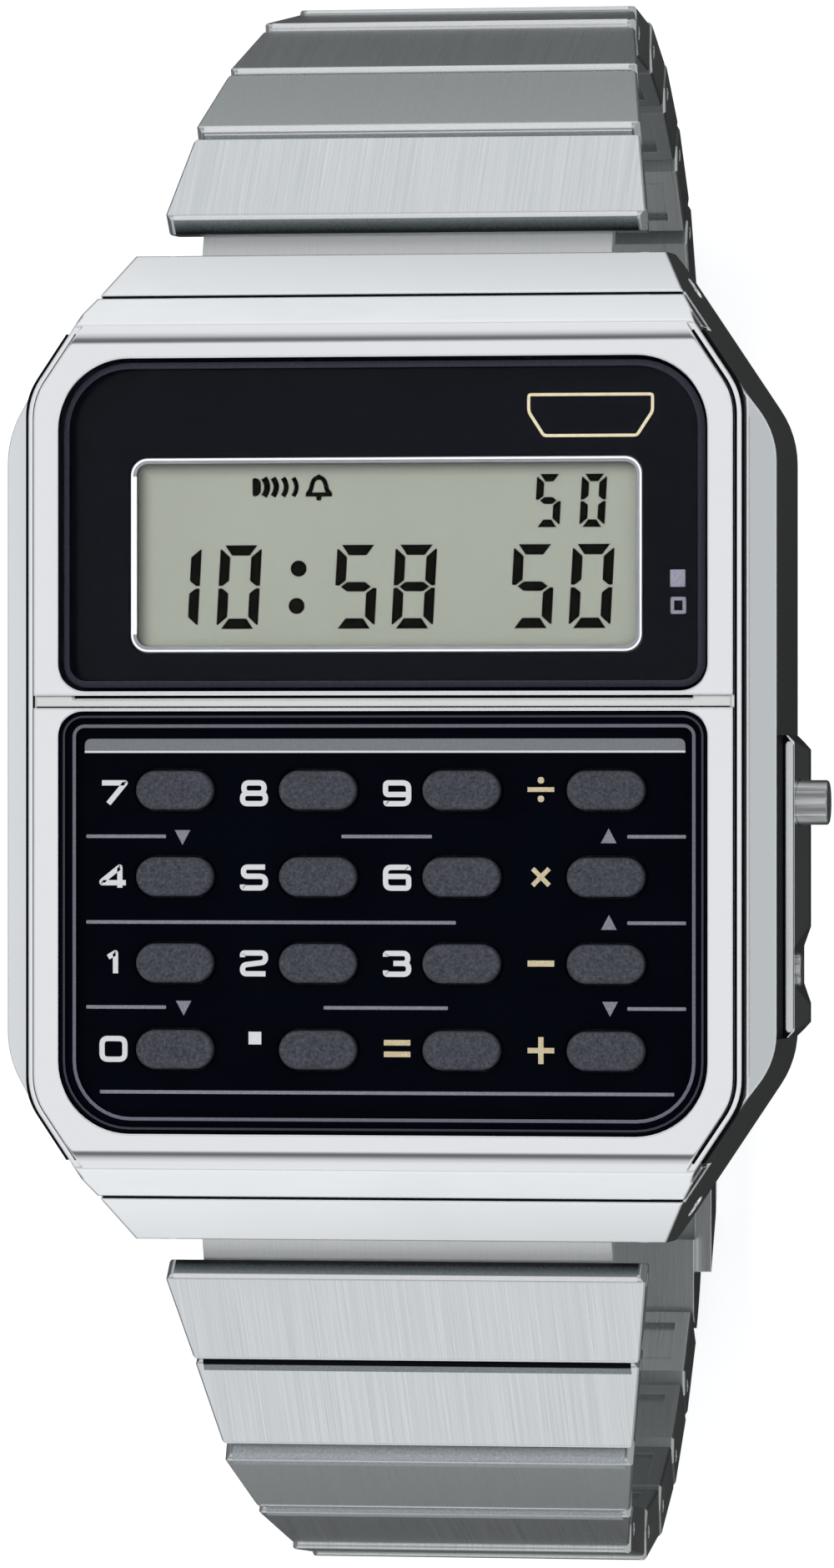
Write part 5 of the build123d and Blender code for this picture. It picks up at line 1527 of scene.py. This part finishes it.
@dataclass
class Studio:
    """The floor, the light, the cards that the metal mirrors, and the camera."""

    floor_radius: float = 2.2
    floor_glow: float = 0.66
    mat_radius: float = 0.6
    mat_height: float = 0.0004
    mat_shades: Points = (
        (0.034, 0.02), (0.071, 0.05), (0.119, 0.16), (0.176, 0.4),
        (0.215, 1.0), (0.42, 1.05), (0.58, 0.7), (1.0, 0.66),
    )
    mat_unseen: tuple[str, ...] = ("camera", "diffuse", "transmission", "volume_scatter", "shadow")
    side_bands: tuple[tuple[float, Triple], ...] = (
        (0.35, (0.95, 0.95, 0.96)), (0.8, (0.76, 0.78, 0.78)), (1.0, (0.6, 0.62, 0.62)),
    )
    end_bands: Points = ((0.44, 1.0), (0.49, 0.4), (0.56, 0.14), (0.65, 0.24), (0.77, 0.7), (0.9, 1.0))
    sky: Colour = (0.93, 0.96, 1.0, 1.0)
    sky_strength: float = 0.45
    white: Colour = (1.0, 1.0, 1.0, 1.0)
    camera_place: Triple = (0.06415, -0.0016, 0.44383)
    camera_turn: float = 9.0
    camera_reach: Point = (0.02, 20.0)
    lens: float = 213.05
    lamps: tuple[tuple[str, Triple, float, float], ...] = (
        ("key lamp", (-0.35, 0.3, 0.6), 0.35, 0.84),
        ("fill lamp", (0.45, -0.2, 0.5), 0.4, 0.38),
        ("top lamp", (0.0, 0.1, 0.8), 0.5, 0.68),
    )
    lamp_aim: Triple = (0.0, 0.0, 0.03)

    def build(self) -> None:
        """Makes the studio."""
        self._world()
        self._floor()
        self._mat()
        self._lamps()
        self._camera()
        bpy.context.scene.view_settings.view_transform = "Standard"

    @staticmethod
    def _seen(graph: Graph) -> Socket:
        """Tells the rays that see the background from those that light the object.

        Args:
            graph: The material's or world's graph.

        Returns:
            1 for camera, glossy and transmission rays.
        """
        rays = graph.node("ShaderNodeLightPath").outputs
        first = graph.math("MAXIMUM", rays["Is Camera Ray"], rays["Is Glossy Ray"])
        return graph.math("MAXIMUM", first, rays["Is Transmission Ray"])

    def _world(self) -> None:
        """Makes a pale world that lights the object softly and shows bands to its metal."""
        world = bpy.data.worlds.new("studio")
        bpy.context.scene.world = world
        world.use_nodes = True
        graph = Graph(world.node_tree)
        place = graph.node("ShaderNodeTexCoord").outputs["Generated"]
        way = graph.node("ShaderNodeSeparateXYZ", {0: place}).outputs
        sides = [(stop, (*colour, 1.0)) for stop, colour in self.side_bands]
        ends = [(stop, (level, level, level, 1.0)) for stop, level in self.end_bands]
        across_x = graph.steps(graph.math("ABSOLUTE", way["X"]), sides)
        along_y = graph.steps(graph.math("ABSOLUTE", way["Y"]), ends)
        mirrored = graph.mix(1.0, across_x, along_y, "MULTIPLY")
        camera = graph.node("ShaderNodeLightPath").outputs["Is Camera Ray"]
        colour = graph.mix(camera, mirrored, self.white)
        pale = graph.node("ShaderNodeBackground", {"Color": colour, "Strength": 1.0})
        soft = graph.node("ShaderNodeBackground", {"Color": self.sky, "Strength": self.sky_strength})
        both = {0: self._seen(graph), 1: soft.outputs[0], 2: pale.outputs[0]}
        graph.end(graph.node("ShaderNodeMixShader", both), "ShaderNodeOutputWorld")

    def _floor(self) -> None:
        """Makes the pale floor that keeps the object's shadow."""
        material, graph = new_material("pale floor")
        colour = graph.mix(graph.noise(graph.place(), 3.0, 3.0), tint("E9E9EA"), tint("EFEFEF"))
        sockets = {"Base Color": colour, "Roughness": 0.8, "Specular IOR Level": 0.1}
        cover = graph.node("ShaderNodeBsdfPrincipled", sockets)
        strength = graph.math("MULTIPLY", self._seen(graph), self.floor_glow)
        glow = graph.node("ShaderNodeEmission", {"Color": self.white, "Strength": strength})
        graph.end(graph.node("ShaderNodeAddShader", {0: cover.outputs[0], 1: glow.outputs[0]}))
        builder = bmesh.new()
        bmesh.ops.create_circle(builder, cap_ends=True, segments=96, radius=self.floor_radius)
        place_mesh(builder, "floor", material)

    def _mat(self) -> None:
        """Makes the dark mat under the watch that only the metal mirrors."""
        material, graph = new_material("mirrored dark mat")
        share = graph.math("DIVIDE", graph.length(graph.place()), self.mat_radius)
        stops = [(stop, (level, level * 1.02, level * 1.02, 1.0)) for stop, level in self.mat_shades]
        graph.end(graph.node("ShaderNodeEmission", {"Color": graph.steps(share, stops), "Strength": 1.0}))
        builder = bmesh.new()
        place = Matrix.Translation((0.0, 0.0, self.mat_height))
        bmesh.ops.create_circle(builder, cap_ends=True, segments=64, radius=self.mat_radius, matrix=place)
        card = place_mesh(builder, "mirror_mat", material)
        for ray in self.mat_unseen:
            setattr(card, "visible_" + ray, False)

    def _lamps(self) -> None:
        """Hangs the soft lamps, each aimed at the watch."""
        for name, place, size, power in self.lamps:
            lamp = bpy.data.lights.new(name, "AREA")
            lamp.shape = "DISK"
            lamp.size = size
            lamp.energy = power
            hung = bpy.data.objects.new(name, lamp)
            hung.location = place
            hung.rotation_mode = "QUATERNION"
            hung.rotation_quaternion = (Vector(self.lamp_aim) - Vector(place)).to_track_quat("-Z", "Y")
            hung.visible_glossy = False
            bpy.context.scene.collection.objects.link(hung)
            LOG.info("hung %s", name)

    def _camera(self) -> None:
        """Sets the camera where the photograph was taken."""
        camera = bpy.data.cameras.new("camera")
        camera.sensor_width = 36.0
        camera.lens = self.lens
        camera.clip_start, camera.clip_end = self.camera_reach
        stand = bpy.data.objects.new("camera", camera)
        stand.location = self.camera_place
        stand.rotation_euler = (0.0, math.radians(self.camera_turn), 0.0)
        bpy.context.scene.collection.objects.link(stand)
        bpy.context.scene.camera = stand


def main() -> None:
    """Builds the watch's looks and the studio, in order."""
    logging.basicConfig(level=logging.INFO, format="%(message)s")
    for part in (Case(), Bracelet(), Display(), KeypadPrintAndPaintedLight(), Studio()):
        part.build()
        LOG.info("%s done", type(part).__name__)


if __name__ == "__main__":
    main()
